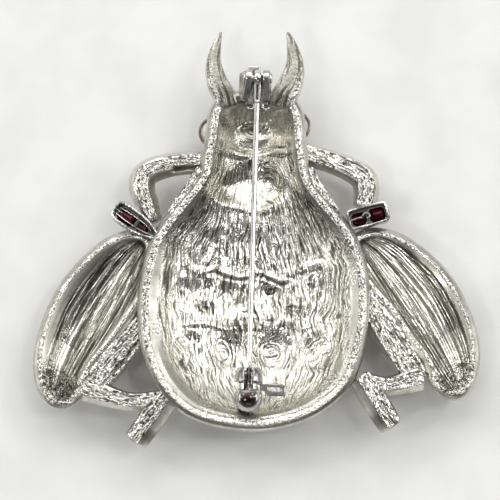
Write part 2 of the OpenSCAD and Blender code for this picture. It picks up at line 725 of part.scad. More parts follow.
// Collar that turns in the catch's ring, slotted for the pin, with its thumb lever
collar_r = foot_top - 2 * collar_gap;
lever_t = 0.55;
lever_w = 1.5;
lever_flat = 2;
module catch_collar() {
    color(steel) translate(home) at_rivet() {
        from = mouth_at + mouth_l * 0.3;
        difference() {
            union() {
                along_pin(from)
                    cylinder(r = mouth_bore - collar_gap, h = mouth_l * 0.7 + groove_w / 2, $fn = round_fn);
                along_pin(mouth_at + mouth_l + collar_gap)
                    cylinder(r = collar_r, h = groove_w - 2 * collar_gap, $fn = round_fn);
                translate([0, -rear_at + collar_gap, -lever_t / 2])
                    cube([lever_flat + melt, groove_w - 2 * collar_gap, lever_t]);
                translate([lever_flat, -rear_at + groove_w - collar_gap - lever_w, -lever_t / 2])
                    cube([lever_l - lever_flat, lever_w, lever_t]);
            }
            along_pin(mouth_at) cylinder(r = slot_w / 2, h = mouth_l + 2 * groove_w, $fn = round_fn);
            translate([-slot_w / 2, -rear_at - groove_w, 0])
                cube([slot_w, mouth_l + 2 * groove_w, 2 * mouth_r]);
        }
    }
}

module casting() {
    color(silver) translate(home) {
        difference() {
            union() {
                ring_solid(body_rings);
                for (side = [left, right]) {
                    ring_solid(wing_rings(side));
                    bar_solid(leg_rings(side));
                    bar_solid(strip_rings(side));
                    bar_solid(horn_rings(side));
                    eye_bezel(side);
                    seat(side);
                }
                for (row = HIND) {
                    bar_solid(thigh_rings(row));
                    bar_solid(shin_rings(row));
                    bar_solid(foot_rings(row));
                }
            }
            eye_socket(left);
            eye_socket(right);
            windows();
        }
        hinge();
        catch();
    }
}
module eye_left() {
    color(milk) translate(home) eye(left);
}
module eye_right() {
    color(milk) translate(home) eye(right);
}
module red_stone(i) {
    color(red) translate(home) stone(STONES[i]);
}

casting();
eye_left();
eye_right();
red_stone(0);  // stone_left_outer
red_stone(1);  // stone_left_inner
red_stone(2);  // stone_right_outer
red_stone(3);  // stone_right_inner
hinge_rivet();
pin_stem();
catch_collar();
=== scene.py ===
"""Looks of a cast insect brooch that lies on its domed front with its hollow back up. Metres, CAD frame."""

import bmesh
import bpy
from math import acos, asin, cos, pi, radians, sin
import numpy as np
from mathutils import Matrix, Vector
from mathutils.geometry import delaunay_2d_cdt


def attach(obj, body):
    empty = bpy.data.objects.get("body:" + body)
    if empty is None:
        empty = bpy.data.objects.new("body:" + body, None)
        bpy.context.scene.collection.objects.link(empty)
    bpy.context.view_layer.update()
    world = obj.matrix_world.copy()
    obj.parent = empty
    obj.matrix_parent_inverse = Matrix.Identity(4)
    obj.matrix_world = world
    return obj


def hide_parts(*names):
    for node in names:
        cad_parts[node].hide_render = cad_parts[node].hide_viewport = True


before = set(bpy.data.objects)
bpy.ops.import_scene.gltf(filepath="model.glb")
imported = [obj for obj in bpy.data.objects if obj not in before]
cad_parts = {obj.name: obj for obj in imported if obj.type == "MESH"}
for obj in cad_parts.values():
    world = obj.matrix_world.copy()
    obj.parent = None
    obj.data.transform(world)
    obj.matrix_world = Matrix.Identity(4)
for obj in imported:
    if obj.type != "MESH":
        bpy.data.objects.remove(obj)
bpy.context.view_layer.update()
columns, joined = np.column_stack, np.concatenate

# ---- sizes and tables, in millimetres
MM = 0.001
HOME = np.array([-0.290252, -23.6421, 7.50645])
BODY_L, HALF_W, HOLLOW_D, WALL, RIM_W = 42.2, 14.0, 5.4, 1.2, 0.85
RIM_FALL, FLARE, DROP = 0.8, 0.75, 1.3
WING_D, WING_RIM_W, WING_LOW, WING_SLOPE, WING_THIN = 1.7, 0.45, 1.1, 0.12, 0.7
WING_L = {-1: 23.7, 1: 23.4}
WING_W = {-1: 6.6, 1: 7.3}
WING_LEAN = {-1: radians(29.5), 1: radians(33.4)}
WING_ROOT = 0.555
WING_OUT = {-1: 0.06, 1: 0.01}
LEG_REACH, LEG_BACK, LEG_W, LEG_H, LEG_LOW = 7.8, 6.9, 2.6, 2.6, 0.5
THIGH_W, SHIN_W, FOOT_W, FOOT_L = 3.4, 2.3, 3.0, 7.2
HORN_L, HORN_OUT, HORN_H = 8.6, 5.15, 2.2
HORN_W = {-1: 2.9, 1: 3.3}
EYE_R, EYE_GAP, BEZEL_T, BEZEL_H, EYE_LOW = 1.65, 0.06, 0.3, 0.9, 3.7
SEAT_L = {-1: 7.0, 1: 5.2}
SEAT_W, SEAT_H, SEAT_LOW, RAIL, STONE_GAP, STONE_H = 2.7, 2.3, 0.3, 0.42, 0.06, 1.5
WIRE_R, PIN_LEAN = 0.35, radians(1.7)
RIVET_R, RIVET_GAP, EAR_T, EAR_SLOT, EAR_R, RIVET_H, RIVET_OUT = 0.38, 0.04, 0.85, 1.3, 1.0, 1.9, 1.6
MOUTH_L, MOUTH_R, MOUTH_BORE, BALL_R, GROOVE_W, SLOT_W = 1.9, 1.85, 1.15, 1.8, 1.0, 1.1
COLLAR_GAP, LEVER_L, PIN_IN, CATCH_IN = 0.06, 4.6, 2.7, 7.1

BODY = np.array([
    [0.000, 0.00, 0.00], [0.009, 0.28, 0.24], [0.033, 0.53, 0.47], [0.068, 0.69, 0.65], [0.112, 0.81, 0.79],
    [0.163, 0.90, 0.88], [0.231, 0.97, 0.94], [0.311, 1.00, 0.98], [0.393, 1.00, 0.99], [0.473, 0.96, 0.97],
    [0.547, 0.90, 0.90], [0.607, 0.79, 0.79], [0.666, 0.65, 0.64], [0.716, 0.53, 0.52], [0.763, 0.45, 0.46],
    [0.814, 0.43, 0.44], [0.858, 0.40, 0.42], [0.911, 0.38, 0.41], [0.955, 0.35, 0.38], [0.988, 0.23, 0.27],
    [1.000, 0.00, 0.00]])
DEPTH = np.array([[0, 0.85], [0.15, 0.95], [0.25, 1], [0.42, 1], [0.5, 0.94], [0.6, 0.88], [0.68, 0.84],
                  [0.76, 0.84], [0.84, 0.84], [0.93, 0.84], [1, 0.8]])
# along, across as a share of HALF_W, radius and height in millimetres
DOMES = np.array([
    [0.231, -0.60, 2.7, 0.38], [0.231, -0.20, 2.7, 0.45], [0.231, 0.20, 2.7, 0.45], [0.231, 0.60, 2.7, 0.38],
    [0.388, -0.60, 2.7, 0.30], [0.388, -0.20, 2.7, 0.36], [0.388, 0.20, 2.7, 0.36], [0.388, 0.60, 2.7, 0.30],
    [0.735, 0.00, 3.51, 0.675], [0.900, 0.00, 3.78, 0.75]])
# along, reach as a share of HALF_W, bow as a share of BODY_L, height in millimetres
RIDGES = np.array([[0.311, 0.80, 0.00, 0.2], [0.466, 0.70, 0.02, 0.16], [0.660, 0.34, 0.03, 0.1],
                   [0.830, 0.36, 0.00, 0.45]])
RIDGE_W = 0.75
# the bow-shaped fold: across and along, in millimetres
FOLD = np.array([[-6.5, 20.0], [-4.7, 20.1], [-2.45, 19.2], [-0.7, 19.35], [-0.04, 19.7], [1.35, 19.6], [3.4, 18.6],
                 [5.5, 18.9]])
PAD_ROW_Y = 17.2
# across, along, reach, gap between the rings and their height
TOOL_RINGS = [(0.1, 39.1, 4.2, 0.78, 0.07), (-9.1, 9.6, 2.4, 0.72, 0.03), (-3.7, 9.5, 2.4, 0.72, 0.035),
              (2.1, 9.6, 2.4, 0.72, 0.05), (7.7, 9.0, 2.4, 0.72, 0.03), (2.0, 31.5, 3.2, 0.9, 0.045)]
# across, along, both radii and depth
PITS = [(1.98, 17.5, 0.8, 0.55, 0.5), (-6.4, 15.0, 0.7, 0.5, 0.25), (4.9, 15.2, 0.6, 0.5, 0.22),
        (-1.2, 14.6, 0.8, 0.4, 0.2)]
# across, along, both radii, where the streaks fade
SMOOTH_SPOTS = [(-0.6, 30.2, 4.6, 2.8), (0, 37.7, 3.4, 1.3), (-1.9, 26.6, 1.6, 1.8), (-3.5, 36.2, 1.6, 1.4),
                (0, 3.4, 11, 3.6)]
# across, along, both radii and how dark: painted shade in the pits, creases, the head's top wall and the deep parts of
# the hollow
PAINTED_SHADE_SPOTS = [(0, 40.6, 5.0, 1.8, 0.55), (0, 34.0, 4.6, 1.0, 0.45), (0, 13.3, 10.0, 0.9, 0.5),
              (1.98, 17.4, 0.9, 0.6, 0.8), (-6.3, 15.4, 2.0, 1.1, 0.6), (5.6, 14.9, 3.4, 1.0, 0.6),
              (0, 25, 9.5, 4.6, 0.24), (0, 9.5, 11, 4.4, 0.22), (-7.2, 25, 1.6, 3.5, 0.25),
              (6.6, 25.5, 1.8, 3.5, 0.3)]
WING = np.array([
    [0.00, 0.12, 0.12, 0.12], [0.03, 0.42, -0.08, -0.08], [0.11, 0.67, -0.20, -0.18], [0.20, 0.82, -0.30, -0.20],
    [0.30, 0.92, -0.35, -0.13], [0.41, 0.99, -0.28, -0.04], [0.52, 1.00, -0.22, -0.01], [0.63, 0.95, -0.15, 0.01],
    [0.73, 0.87, -0.10, 0.03], [0.81, 0.77, -0.18, -0.08], [0.88, 0.64, -0.28, -0.19], [0.94, 0.46, -0.24, -0.15],
    [0.98, 0.29, -0.13, -0.07], [1.00, 0.08, 0.08, 0.08]])
WING_DEPTH = np.array([[0, 0.8], [0.2, 1], [0.7, 1], [0.8, 0.75], [0.87, 0.25], [1, 0.1]])
WING_MID = np.array([[0, 0.2], [0.4, 0.3], [0.8, 0.25], [1, 0.08]])
LEG = {
    -1: np.array([[-0.06, 0.00, 0.95], [0.30, 0.00, 1.02], [0.62, 0.04, 1.06], [0.90, 0.14, 1.12],
                  [1.02, 0.28, 1.16], [1.03, 0.50, 1.14], [0.95, 0.74, 1.00], [0.83, 1.10, 0.74]]),
    1: np.array([[-0.06, -0.02, 0.95], [0.25, 0.11, 1.00], [0.57, 0.22, 1.06], [0.84, 0.35, 1.14],
                 [1.01, 0.50, 1.20], [1.05, 0.72, 1.18], [0.99, 1.06, 1.00]])}
LEG_ROOT = {-1: 0.794, 1: 0.829}
LEG_FALL = 0.1
STRIP = np.array([[0.775, 0.04], [0.725, 0.06], [0.68, 0.05], [0.63, 0.02]])
HIND = np.array([[-1, 0.98, 0.310, 1.48, 0.108, 0.765, 0.084, 36], [1, 0.99, 0.395, 1.45, 0.150, 0.95, 0.136, 32]])
# along, out and width as shares, and how far it is raised, in millimetres
HORN = np.array([[-0.16, 0.66, 1.15, 0.45], [0.04, 0.74, 1.05, 0.62], [0.20, 0.88, 0.98, 0.46],
                 [0.40, 0.98, 0.84, 0.32], [0.58, 1.00, 0.65, 0.18], [0.78, 0.94, 0.44, 0.07],
                 [0.92, 0.87, 0.25, 0], [1.00, 0.82, 0.10, 0]])
SEAT = {-1: np.array([[-1, 0.6], [-0.86, 0.92], [-0.5, 1], [0, 0.98], [0.4, 0.8], [0.75, 0.45], [1, 0.12]]),
        1: np.array([[-1, 0.7], [-0.9, 0.95], [0, 1], [0.85, 0.95], [1, 0.75]])}
SEATS = {-1: (0.82, -0.13, -35.0), 1: (0.22, -0.42, 15.0)}
STONES = [("stone_left_outer", -1, -0.45, 0.35, 1.00), ("stone_left_inner", -1, 0.24, 0.23, 0.80),
          ("stone_right_outer", 1, 0.46, 0.40, 1.00), ("stone_right_inner", 1, -0.44, 0.36, 0.95)]
# wires inside the cups: height share, radius, and points as shares of half the cup
CUP_WIRES = {-1: [(0.72, 0.13, [(-0.9, 0.35), (-0.4, 0.42), (0.2, 0.4), (0.6, 0.2)]),
                  (0.66, 0.12, [(-0.88, -0.3), (-0.3, -0.38), (0.3, -0.3), (0.8, -0.05)]),
                  (0.7, 0.1, [(-0.95, 0.0), (-0.6, 0.06), (-0.25, 0.02)])],
             1: [(0.8, 0.16, [(-0.92, -0.05), (-0.7, 0.0), (-0.45, 0.02), (-0.3, 0.0)]),
                 (0.8, 0.15, [(-0.28, 0.1), (-0.12, 0.32), (0.05, 0.2), (0.06, -0.1), (-0.1, -0.22)]),
                 (0.75, 0.14, [(0.9, 0.5), (1.0, 0.1), (0.95, -0.4), (0.86, -0.6)])]}
EYES = {-1: (-0.365, 0.893), 1: (0.370, 0.912)}
BAR = np.array([[0, 1], [0.25, 0.86], [0.7, 0.3], [1, -0.25], [0.9, -0.65], [0.3, -1]])
BACK_CURVE, FRONT_CURVE = 2.6, 2.2
SIDES = ((-1, "left"), (1, "right"))
# place in the sky and brightness
SKY = [(0.40, 0.10), (0.60, 0.11), (0.72, 0.15), (0.82, 0.26), (0.88, 0.46), (0.94, 0.82)]

# ---- noise
GRIDS = {}


def noise(x, y, seed):
    """Smooth value noise from -1 to 1, with a cell of 1."""
    seed = int(seed)
    if seed not in GRIDS:
        GRIDS[seed] = np.random.default_rng(seed).random((128, 128)) * 2 - 1
    g = GRIDS[seed]
    x, y = np.asarray(x, float), np.asarray(y, float)
    xi, yi = np.floor(x).astype(int), np.floor(y).astype(int)
    fx, fy = x - xi, y - yi
    fx, fy = fx * fx * (3 - 2 * fx), fy * fy * (3 - 2 * fy)
    a, b = g[xi % 128, yi % 128], g[(xi + 1) % 128, yi % 128]
    c, d = g[xi % 128, (yi + 1) % 128], g[(xi + 1) % 128, (yi + 1) % 128]
    return (a * (1 - fx) + b * fx) * (1 - fy) + (c * (1 - fx) + d * fx) * fy


def clouds(x, y, seed):
    """Three layers of noise, each half the size of the one before."""
    return sum(noise(x / size, y / size, seed + k) * size for k, size in enumerate((1.0, 0.5, 0.25))) / 1.6


# ---- outline functions, as in the CAD source
def refine(p, times):
    for _ in range(times):
        a, b, c, d = np.roll(p, 1, 0), p, np.roll(p, -1, 0), np.roll(p, -2, 0)
        q = np.empty((2 * len(p), p.shape[1]))
        q[0::2], q[1::2] = p, (9 * (b + c) - a - d) / 16
        p = q
    return p


def unit(share):
    return np.clip(share, 0, 1)


def rise(value, start, length):
    """Goes from 0 at start to 1 at start + length."""
    return unit((value - start) / length)


def out_and_back(a, b):
    return joined([a, b[-2:0:-1]])


def grown(p, by):
    d = np.roll(p, -1, 0) - np.roll(p, 1, 0)
    n = np.stack([-d[:, 1], d[:, 0]], 1)
    return p + by * n / np.linalg.norm(n, axis=1)[:, None]


def hump(share):
    """A soft step from 1 at share 0 down to 0 at share 1."""
    q = unit(1 - share)
    return q * q * (3 - 2 * q)


def blunt(y, long, start, end):
    return np.where(y < 2 * start, start + y / 2, np.where(y > long - 2 * end, (y + long - 2 * end) / 2, y))


def rim_z(y):
    return -RIM_FALL * y / BODY_L


def on_side(side, along):
    return np.array([side * HALF_W * np.interp(along, BODY[:, 0], BODY[:, 1 if side < 0 else 2]), along * BODY_L])


def body_relief(x, y, s):
    domes = sum(d[3] * hump(((x - d[1] * HALF_W) ** 2 + (y - d[0] * BODY_L) ** 2) / d[2] ** 2) for d in DOMES)
    ridges = 0
    for r in RIDGES:
        reach = r[1] * HALF_W
        line = (r[0] + r[2] * (x / reach) ** 2) * BODY_L + 0.5 * noise(x * 0.5, r[0] * 9, 17)
        high = r[3] * (0.7 + 0.75 * noise(x * 0.6, r[0] * 11, 18))
        ridges = ridges + high * hump(((y - line) / RIDGE_W) ** 2) * hump((np.abs(x) / reach) ** 4)
    return (domes - ridges) * np.minimum(1, s * 6)


def body_depth(y):
    return HOLLOW_D * np.interp(y / BODY_L, DEPTH[:, 0], DEPTH[:, 1])


def wing_base(side):
    return on_side(side, WING_ROOT) + np.array([side * HALF_W * WING_OUT[side], 0])


def wing_out(side, q):
    a, b = WING_LEAN[side], wing_base(side)
    return np.stack([b[0] + side * (q[:, 0] * cos(a) + q[:, 1] * sin(a)),
                     b[1] + q[:, 0] * sin(a) - q[:, 1] * cos(a)], 1)


def wing_in(side, p):
    a, d = WING_LEAN[side], p - wing_base(side)
    return np.stack([side * d[:, 0] * cos(a) + d[:, 1] * sin(a),
                     side * d[:, 0] * sin(a) - d[:, 1] * cos(a)], 1)


def wing_top(side, p):
    return rim_z(WING_ROOT * BODY_L) - WING_LOW - WING_SLOPE * wing_in(side, p)[:, 0]


# ---- mesh helpers
def mesh_object(name, points, faces, attributes=None, smooth=True):
    """A mesh from points in millimetres of the drawing's frame."""
    mesh = bpy.data.meshes.new(name)
    mesh.from_pydata(((np.asarray(points, float) + HOME) * MM).tolist(), [], [list(map(int, f)) for f in faces])
    for key, values in (attributes or {}).items():
        layer = mesh.attributes.new(key, "FLOAT_VECTOR", "POINT")
        layer.data.foreach_set("vector", np.asarray(values, np.float32).ravel())
    mesh.polygons.foreach_set("use_smooth", [smooth] * len(mesh.polygons))
    mesh.update()
    obj = bpy.data.objects.new(name, mesh)
    bpy.context.scene.collection.objects.link(obj)
    return obj


def grid_faces(rows, n):
    """Four-cornered faces between closed rings of n points."""
    k, i = np.meshgrid(np.arange(rows - 1), np.arange(n), indexing="ij")
    k, i = k.ravel(), i.ravel()
    j = (i + 1) % n
    return np.stack([k * n + i, (k + 1) * n + i, (k + 1) * n + j, k * n + j], 1)


def capped(rows, n):
    """The same with a face on each end."""
    faces = [list(f) for f in grid_faces(rows, n)]
    return faces + [list(range(n)), list(range((rows - 1) * n, rows * n))[::-1]]


def distances(p):
    """How far each point lies along a line."""
    return joined([[0], np.cumsum(np.linalg.norm(np.diff(p, axis=0), axis=1))])


def add_piece(obj, material, body="casting", replaces=("casting",)):
    obj.data.materials.append(material)
    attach(obj, body)
    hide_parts(*replaces)


def bevel(obj, width, segments=3):
    m = obj.modifiers.new("bevel", "BEVEL")
    m.width, m.segments, m.limit_method, m.angle_limit = width * MM, segments, "ANGLE", radians(30)
    m.harden_normals = False


RIM_RINGS, WALL_STEPS, EDGE, BAR_STEP = 5, (0.35, 0.7, 1.0), 0.06, 0.16


def shell(name, material, loop, middle, hollow_s, front_s, rim, low, top, hollow, front, carve, grain, marks):
    """A hollow shell with its rim, in two pieces. carve(p, s, zone) moves the surface up, and grain(p, s, zone) gives
    the coordinates of its texture. Zones: 0 hollow, 1 rim, 2 outer wall, 3 front."""
    n = len(loop)
    inner, outer = grown(loop, -rim), grown(loop, FLARE)
    rings, zones, shares = [], [], []

    def ring(p, z, zone, s):
        rings.append(columns([p, z]))
        zones.append(np.full(n, float(zone)))
        shares.append(np.full(n, s))

    for s in hollow_s[::-1]:
        p = inner + (middle - inner) * s
        ring(p, top(p) - hollow(p, s), 0, s)
    for f in np.linspace(0, 1, RIM_RINGS):
        p = inner + (loop - inner) * f
        ring(p, top(p) - EDGE * abs(2 * f - 1) ** 3, 1, f)
    turn = grown(loop, FLARE * 0.7)
    for f in WALL_STEPS:
        p = loop + (turn - loop) * f
        ring(p, top(p) - EDGE - (low * 0.35 - EDGE) * f ** 1.3, 2, f)
    for f in WALL_STEPS:
        p = turn + (outer - turn) * (f * (2 - f))
        ring(p, top(p) - low * (0.35 + 0.65 * f), 2, 1 + f)
    for s in front_s:
        p = outer + (middle - outer) * s
        ring(p, top(p) - front(p, s), 3, s)
    flat, s, zone = joined(rings), joined(shares), joined(zones)
    flat[:, 2] += carve(flat[:, :2], s, zone)
    texture, tint = grain(flat[:, :2], s, zone), marks(flat[:, :2], s, zone)
    seam = len(hollow_s) + RIM_RINGS - 1
    for word, first, last in (("_hollow", 0, seam), ("_shell", seam, len(rings) - 1)):
        part = slice(first * n, (last + 1) * n)
        obj = mesh_object(name + word, flat[part], grid_faces(last + 1 - first, n),
                          {"grain": texture[part], "marks": tint[part]})
        weld(obj)
        add_piece(obj, material)


def weld(obj):
    """Joins the points that fall together in the middle of a shell."""
    b = bmesh.new()
    b.from_mesh(obj.data)
    bmesh.ops.remove_doubles(b, verts=b.verts, dist=0.0005 * MM)
    b.to_mesh(obj.data)
    b.free()
    obj.data.update()


def smooth_path(points, times=3):
    """An open smooth curve through rows of numbers."""
    p = np.asarray(points, float)
    for _ in range(times):
        a, b, c = joined([[2 * p[0] - p[1]], p[:-2]]), p[:-1], p[1:]
        d = joined([p[2:], [2 * p[-1] - p[-2]]])
        q = np.empty((2 * len(p) - 1, p.shape[1]))
        q[0::2], q[1::2] = p, (9 * (b + c) - a - d) / 16
        p = q
    return p


def section(back):
    """Unit section of a bar, as across and up."""
    right = np.array([[back + (1 - back) * r[0], r[1]] for r in BAR[::-1]])
    ring = joined([right, right[::-1] * [-1, 1]])
    ring = joined([ring, ring[:1]])
    steps = np.linspace(0, 1, 6, endpoint=False)
    out = np.array([a + (b - a) * f for a, b in zip(ring[:-1], ring[1:]) for f in steps])
    for _ in range(3):
        out = out * 0.5 + (np.roll(out, 1, 0) + np.roll(out, -1, 0)) * 0.25
    return out


def bar(name, path, widths, depths, back, carve, ends=(0.3, 0.5), lean=0.0, marks=None, material=None):
    """A swept bar with rounded ends. lean moves its back sideways, as a share of its half width."""
    rows = smooth_path(columns([path, widths, depths]))
    at = distances(rows[:, :3])
    long = at[-1]
    turn = 1 - np.cos(np.radians(np.linspace(0, 90, 7)))
    even = joined([turn * ends[0], np.arange(ends[0], long - ends[1], BAR_STEP), long - turn * ends[1]])
    even = np.unique(even)
    even = even[joined([[True], np.diff(even) > 1e-6])]
    rows = columns([np.interp(even, at, rows[:, k]) for k in range(5)])
    way = np.gradient(rows[:, :2], even, axis=0)
    way /= np.linalg.norm(way, axis=1)[:, None]
    out = np.stack([way[:, 1], -way[:, 0]], 1)
    sec = section(back)
    m, count = len(sec), len(even)
    gone = [unit(1 - even / ends[0]), unit(1 - (long - even) / ends[1])]
    fit = np.clip((1 - gone[0] ** 2.4) * (1 - gone[1] ** 2.4), 0.0004, 1) ** (1 / 2.4)
    rings, info = [], []
    for k in range(count):
        w, h = rows[k, 3] / 2 * fit[k], rows[k, 4] / 2 * (0.75 + 0.25 * fit[k])
        x = sec[:, 0] * w + lean * w * (sec[:, 1] + 1) / 2
        z = rows[k, 2] + sec[:, 1] * h
        rings.append(columns([rows[k, :2] + out[k] * x[:, None], z]))
        face = unit((sec[:, 1] - 0.4) / 0.3) * unit((back + 0.14 - np.abs(sec[:, 0])) / 0.14)
        info.append(columns([np.full(m, even[k]), x, face * min(1, fit[k] * 1.4 - 0.2)]))
    flat, data = joined(rings), joined(info)
    flat[:, 2] += carve(data[:, 0], data[:, 1], data[:, 2])
    tint = (marks or limb_marks)(data[:, 0], data[:, 1], unit(data[:, 2]))
    faces = [f[::-1] for f in capped(count, m)]
    obj = mesh_object(name, flat, faces, {"grain": data[:, [1, 0, 2]], "marks": tint})
    add_piece(obj, material or LIMB_METAL)


def limb_marks(along, across, face):
    return columns([face * 0.6, 0.1 + 0.9 * face, 0 * face])


def tube(name, p, radius, closed=False):
    """A round wire through points. radius is one number or one for each point."""
    sides = 10
    r = np.broadcast_to(np.asarray(radius, float), (len(p),))
    way = np.roll(p, -1, 0) - np.roll(p, 1, 0) if closed else np.gradient(p, axis=0)
    way /= np.linalg.norm(way, axis=1)[:, None]
    a = np.cross(way, [0.0, 0.0, 1.0])
    a[np.linalg.norm(a, axis=1) < 1e-3] = [1, 0, 0]
    a /= np.linalg.norm(a, axis=1)[:, None]
    b = np.cross(a, way)
    t = np.linspace(0, 2 * pi, sides, endpoint=False)
    turned = a[:, None] * np.cos(t)[None, :, None] + b[:, None] * np.sin(t)[None, :, None]
    rings = p[:, None] + r[:, None, None] * turned
    n = len(p)
    faces = capped(n, sides)
    if closed:
        last = (n - 1) * sides
        faces = faces[:-2] + [[last + i, i, (i + 1) % sides, last + (i + 1) % sides] for i in range(sides)]
    return mesh_object(name, rings.reshape(-1, 3), faces)


def evenly(p, count, closed=True):
    """Points at even distances along a line."""
    q = joined([p, p[:1]]) if closed else p
    at = distances(q)
    t = np.linspace(0, at[-1], count, endpoint=not closed)
    return columns([np.interp(t, at, q[:, k]) for k in range(q.shape[1])]), at[-1]


def prism(name, outline, holes, low, high, place):
    """A flat plate with windows. place turns its points to where it stands."""
    loops = [outline] + holes
    verts, edges = [], []
    for lp in loops:
        base = len(verts)
        verts += [Vector(p) for p in lp]
        edges += [(base + i, base + (i + 1) % len(lp)) for i in range(len(lp))]
    v2, _, f2, *_ = delaunay_2d_cdt(verts, edges, [], 0, 1e-5)
    pts = np.array([list(v) for v in v2])

    def inside(c, lp):
        hit = False
        for i in range(len(lp)):
            (x1, y1), (x2, y2) = lp[i], lp[(i + 1) % len(lp)]
            if (y1 > c[1]) != (y2 > c[1]) and c[0] < (x2 - x1) * (c[1] - y1) / (y2 - y1) + x1:
                hit = not hit
        return hit

    tops = []
    for f in f2:
        c = pts[list(f)].mean(0)
        if inside(c, loops[0]) and not any(inside(c, h) for h in loops[1:]):
            a, b, d = pts[f[0]], pts[f[1]], pts[f[2]]
            area = (b[0] - a[0]) * (d[1] - a[1]) - (b[1] - a[1]) * (d[0] - a[0])
            tops.append(list(f) if area > 0 else list(f)[::-1])
    n = len(pts)
    points = joined([columns([pts, np.full(n, high)]), columns([pts, np.full(n, low)])])
    faces = tops + [[i + n for i in f[::-1]] for f in tops]
    used = dict.fromkeys((a, b) for f in tops for a, b in zip(f, f[1:] + f[:1]))
    faces += [[b, a, a + n, b + n] for a, b in used if (b, a) not in used]
    return mesh_object(name, place(points), faces, smooth=False)


def lathe(name, profile, place, count):
    """A turned piece about its own x axis: profile rows are along, radius."""
    p = np.asarray(profile, float)
    m = len(p)
    rings = [columns([p[:, 0], p[:, 1] * cos(a), p[:, 1] * sin(a)])
             for a in np.linspace(0, 2 * pi, count, endpoint=False)]
    faces = [[i * m + k, j * m + k, j * m + k + 1, i * m + k + 1]
             for i in range(count) for j in [(i + 1) % count] for k in range(m - 1)]
    return mesh_object(name, place(joined(rings)), faces)


# ---- materials
def node_material(name, **inputs):
    mat = bpy.data.materials.new(name)
    mat.use_nodes = True
    for key, value in inputs.items():
        shader(mat.node_tree)[key.replace("_", " ")].default_value = value
    return mat, mat.node_tree


def shader(tree):
    return tree.nodes["Principled BSDF"].inputs


def add(tree, kind, **values):
    """A shader node. in_ and a name or number is an input, which takes a value or a link from a socket."""
    node = tree.nodes.new("ShaderNode" + kind)
    for key, value in values.items():
        if not key.startswith("in_"):
            setattr(node, key, value)
            continue
        socket = node.inputs[int(key[3:]) if key[3:].isdigit() else key[3:]]
        if isinstance(value, bpy.types.NodeSocket):
            tree.links.new(value, socket)
        else:
            socket.default_value = value
    return node


def wire(tree, **sockets):
    """Links sockets to the shader's inputs."""
    for key, socket in sockets.items():
        tree.links.new(socket, shader(tree)[key.replace("_", " ")])


def place_in(tree, kind="Object"):
    return add(tree, "TexCoord").outputs[kind]


def speckle(tree, place, scale, detail, **more):
    return add(tree, "TexNoise", in_Vector=place, in_Scale=scale, in_Detail=detail, **more).outputs["Fac"]


def spread(tree, value, low, high, first, last, kind="LINEAR"):
    """Takes low..high to first..last."""
    return add(tree, "MapRange", interpolation_type=kind, in_0=value, in_1=low, in_2=high, in_3=first,
               in_4=last).outputs[0]


def maths(tree, operation, *terms, clamp=False):
    node = add(tree, "Math", operation=operation, use_clamp=clamp)
    for socket, term in zip(node.inputs, terms):
        tree.links.new(term, socket)
    return node.outputs[0]


def ramp(tree, value, low, dark, high, light):
    """A colour from dark at low to light at high."""
    node = add(tree, "ValToRGB", in_Fac=value)
    for stop, at, colour in zip(node.color_ramp.elements, (low, high), (dark, light)):
        stop.position, stop.color = at, (*colour, 1)
    return node.outputs["Color"]


def mixed(tree, share, first, second):
    return add(tree, "Mix", data_type="RGBA", in_0=share, in_6=first, in_7=(*second, 1)).outputs[2]


def cast_metal(name, stretch, rough=0.13, grit_by=None, crest=(0.39, 0.59)):
    """Bright plated casting. The mesh gives streak coordinates (grain) and amounts (marks): streaks, grit, dark."""
    mat, tree = node_material(name, Metallic=1.0)
    grain, marks = [add(tree, "Attribute", attribute_name=word).outputs["Vector"] for word in ("grain", "marks")]
    streaky, gritty, painted_shade_and_patches = add(tree, "SeparateXYZ", in_0=marks).outputs
    place = place_in(tree)
    # streaks along the grain, grains of the casting, and broad clouds
    streak = speckle(tree, add(tree, "Mapping", in_Vector=grain, in_Scale=stretch).outputs[0], 1.0, 1.5,
                     in_Roughness=0.5, in_Distortion=0.6)
    if grit_by:
        grit = add(tree, "Mapping", in_Vector=grain, in_Scale=grit_by).outputs[0]
    grit = speckle(tree, grit if grit_by else place, 1.0 if grit_by else 3900.0, 1.3, in_Roughness=0.55)
    soft = speckle(tree, place, 500.0, 3.0, in_Roughness=0.6)
    crisp = spread(tree, streak, *crest, 0.0, 1.0, "SMOOTHERSTEP")
    grains = spread(tree, grit, 0.38, 0.58, 0.0, 1.0, "SMOOTHERSTEP")
    bump = add(tree, "Bump", in_Height=crisp, in_Strength=streaky, in_Distance=0.00005).outputs[0]
    bump = add(tree, "Bump", in_Height=grains, in_Strength=gritty, in_Distance=0.00008, in_Normal=bump).outputs[0]
    # tarnish lies in the low places of the streaks and grains, and their tops are rubbed bright
    low = maths(tree, "MULTIPLY", spread(tree, streak, 0.38, 0.5, 0.9, 0.0), streaky)
    pits = maths(tree, "MULTIPLY", spread(tree, grit, 0.38, 0.47, 1.0, 0.0), gritty)
    # the marks' dark amount is mostly painted shade in pits, creases, grooves and on shaded walls, with some darker
    # patches
    dark = maths(tree, "ADD", maths(tree, "ADD", low, pits), painted_shade_and_patches, clamp=True)
    high = maths(tree, "MULTIPLY_ADD", grains, gritty, maths(tree, "MULTIPLY", crisp, streaky), clamp=True)
    tone = ramp(tree, soft, 0.3, (0.50, 0.482, 0.418), 0.62, (0.74, 0.72, 0.652))
    tone = mixed(tree, dark, mixed(tree, high, tone, (0.95, 0.93, 0.868)), (0.115, 0.11, 0.088))
    # places without streaks or grains are satin
    satin = spread(tree, maths(tree, "ADD", streaky, gritty), 0.15, 0.6, 0.2, 0.0)
    dull = maths(tree, "ADD", spread(tree, soft, 0.3, 0.7, rough + 0.1, rough - 0.08), satin)
    wire(tree, Base_Color=tone, Roughness=dull, Normal=bump)
    return mat


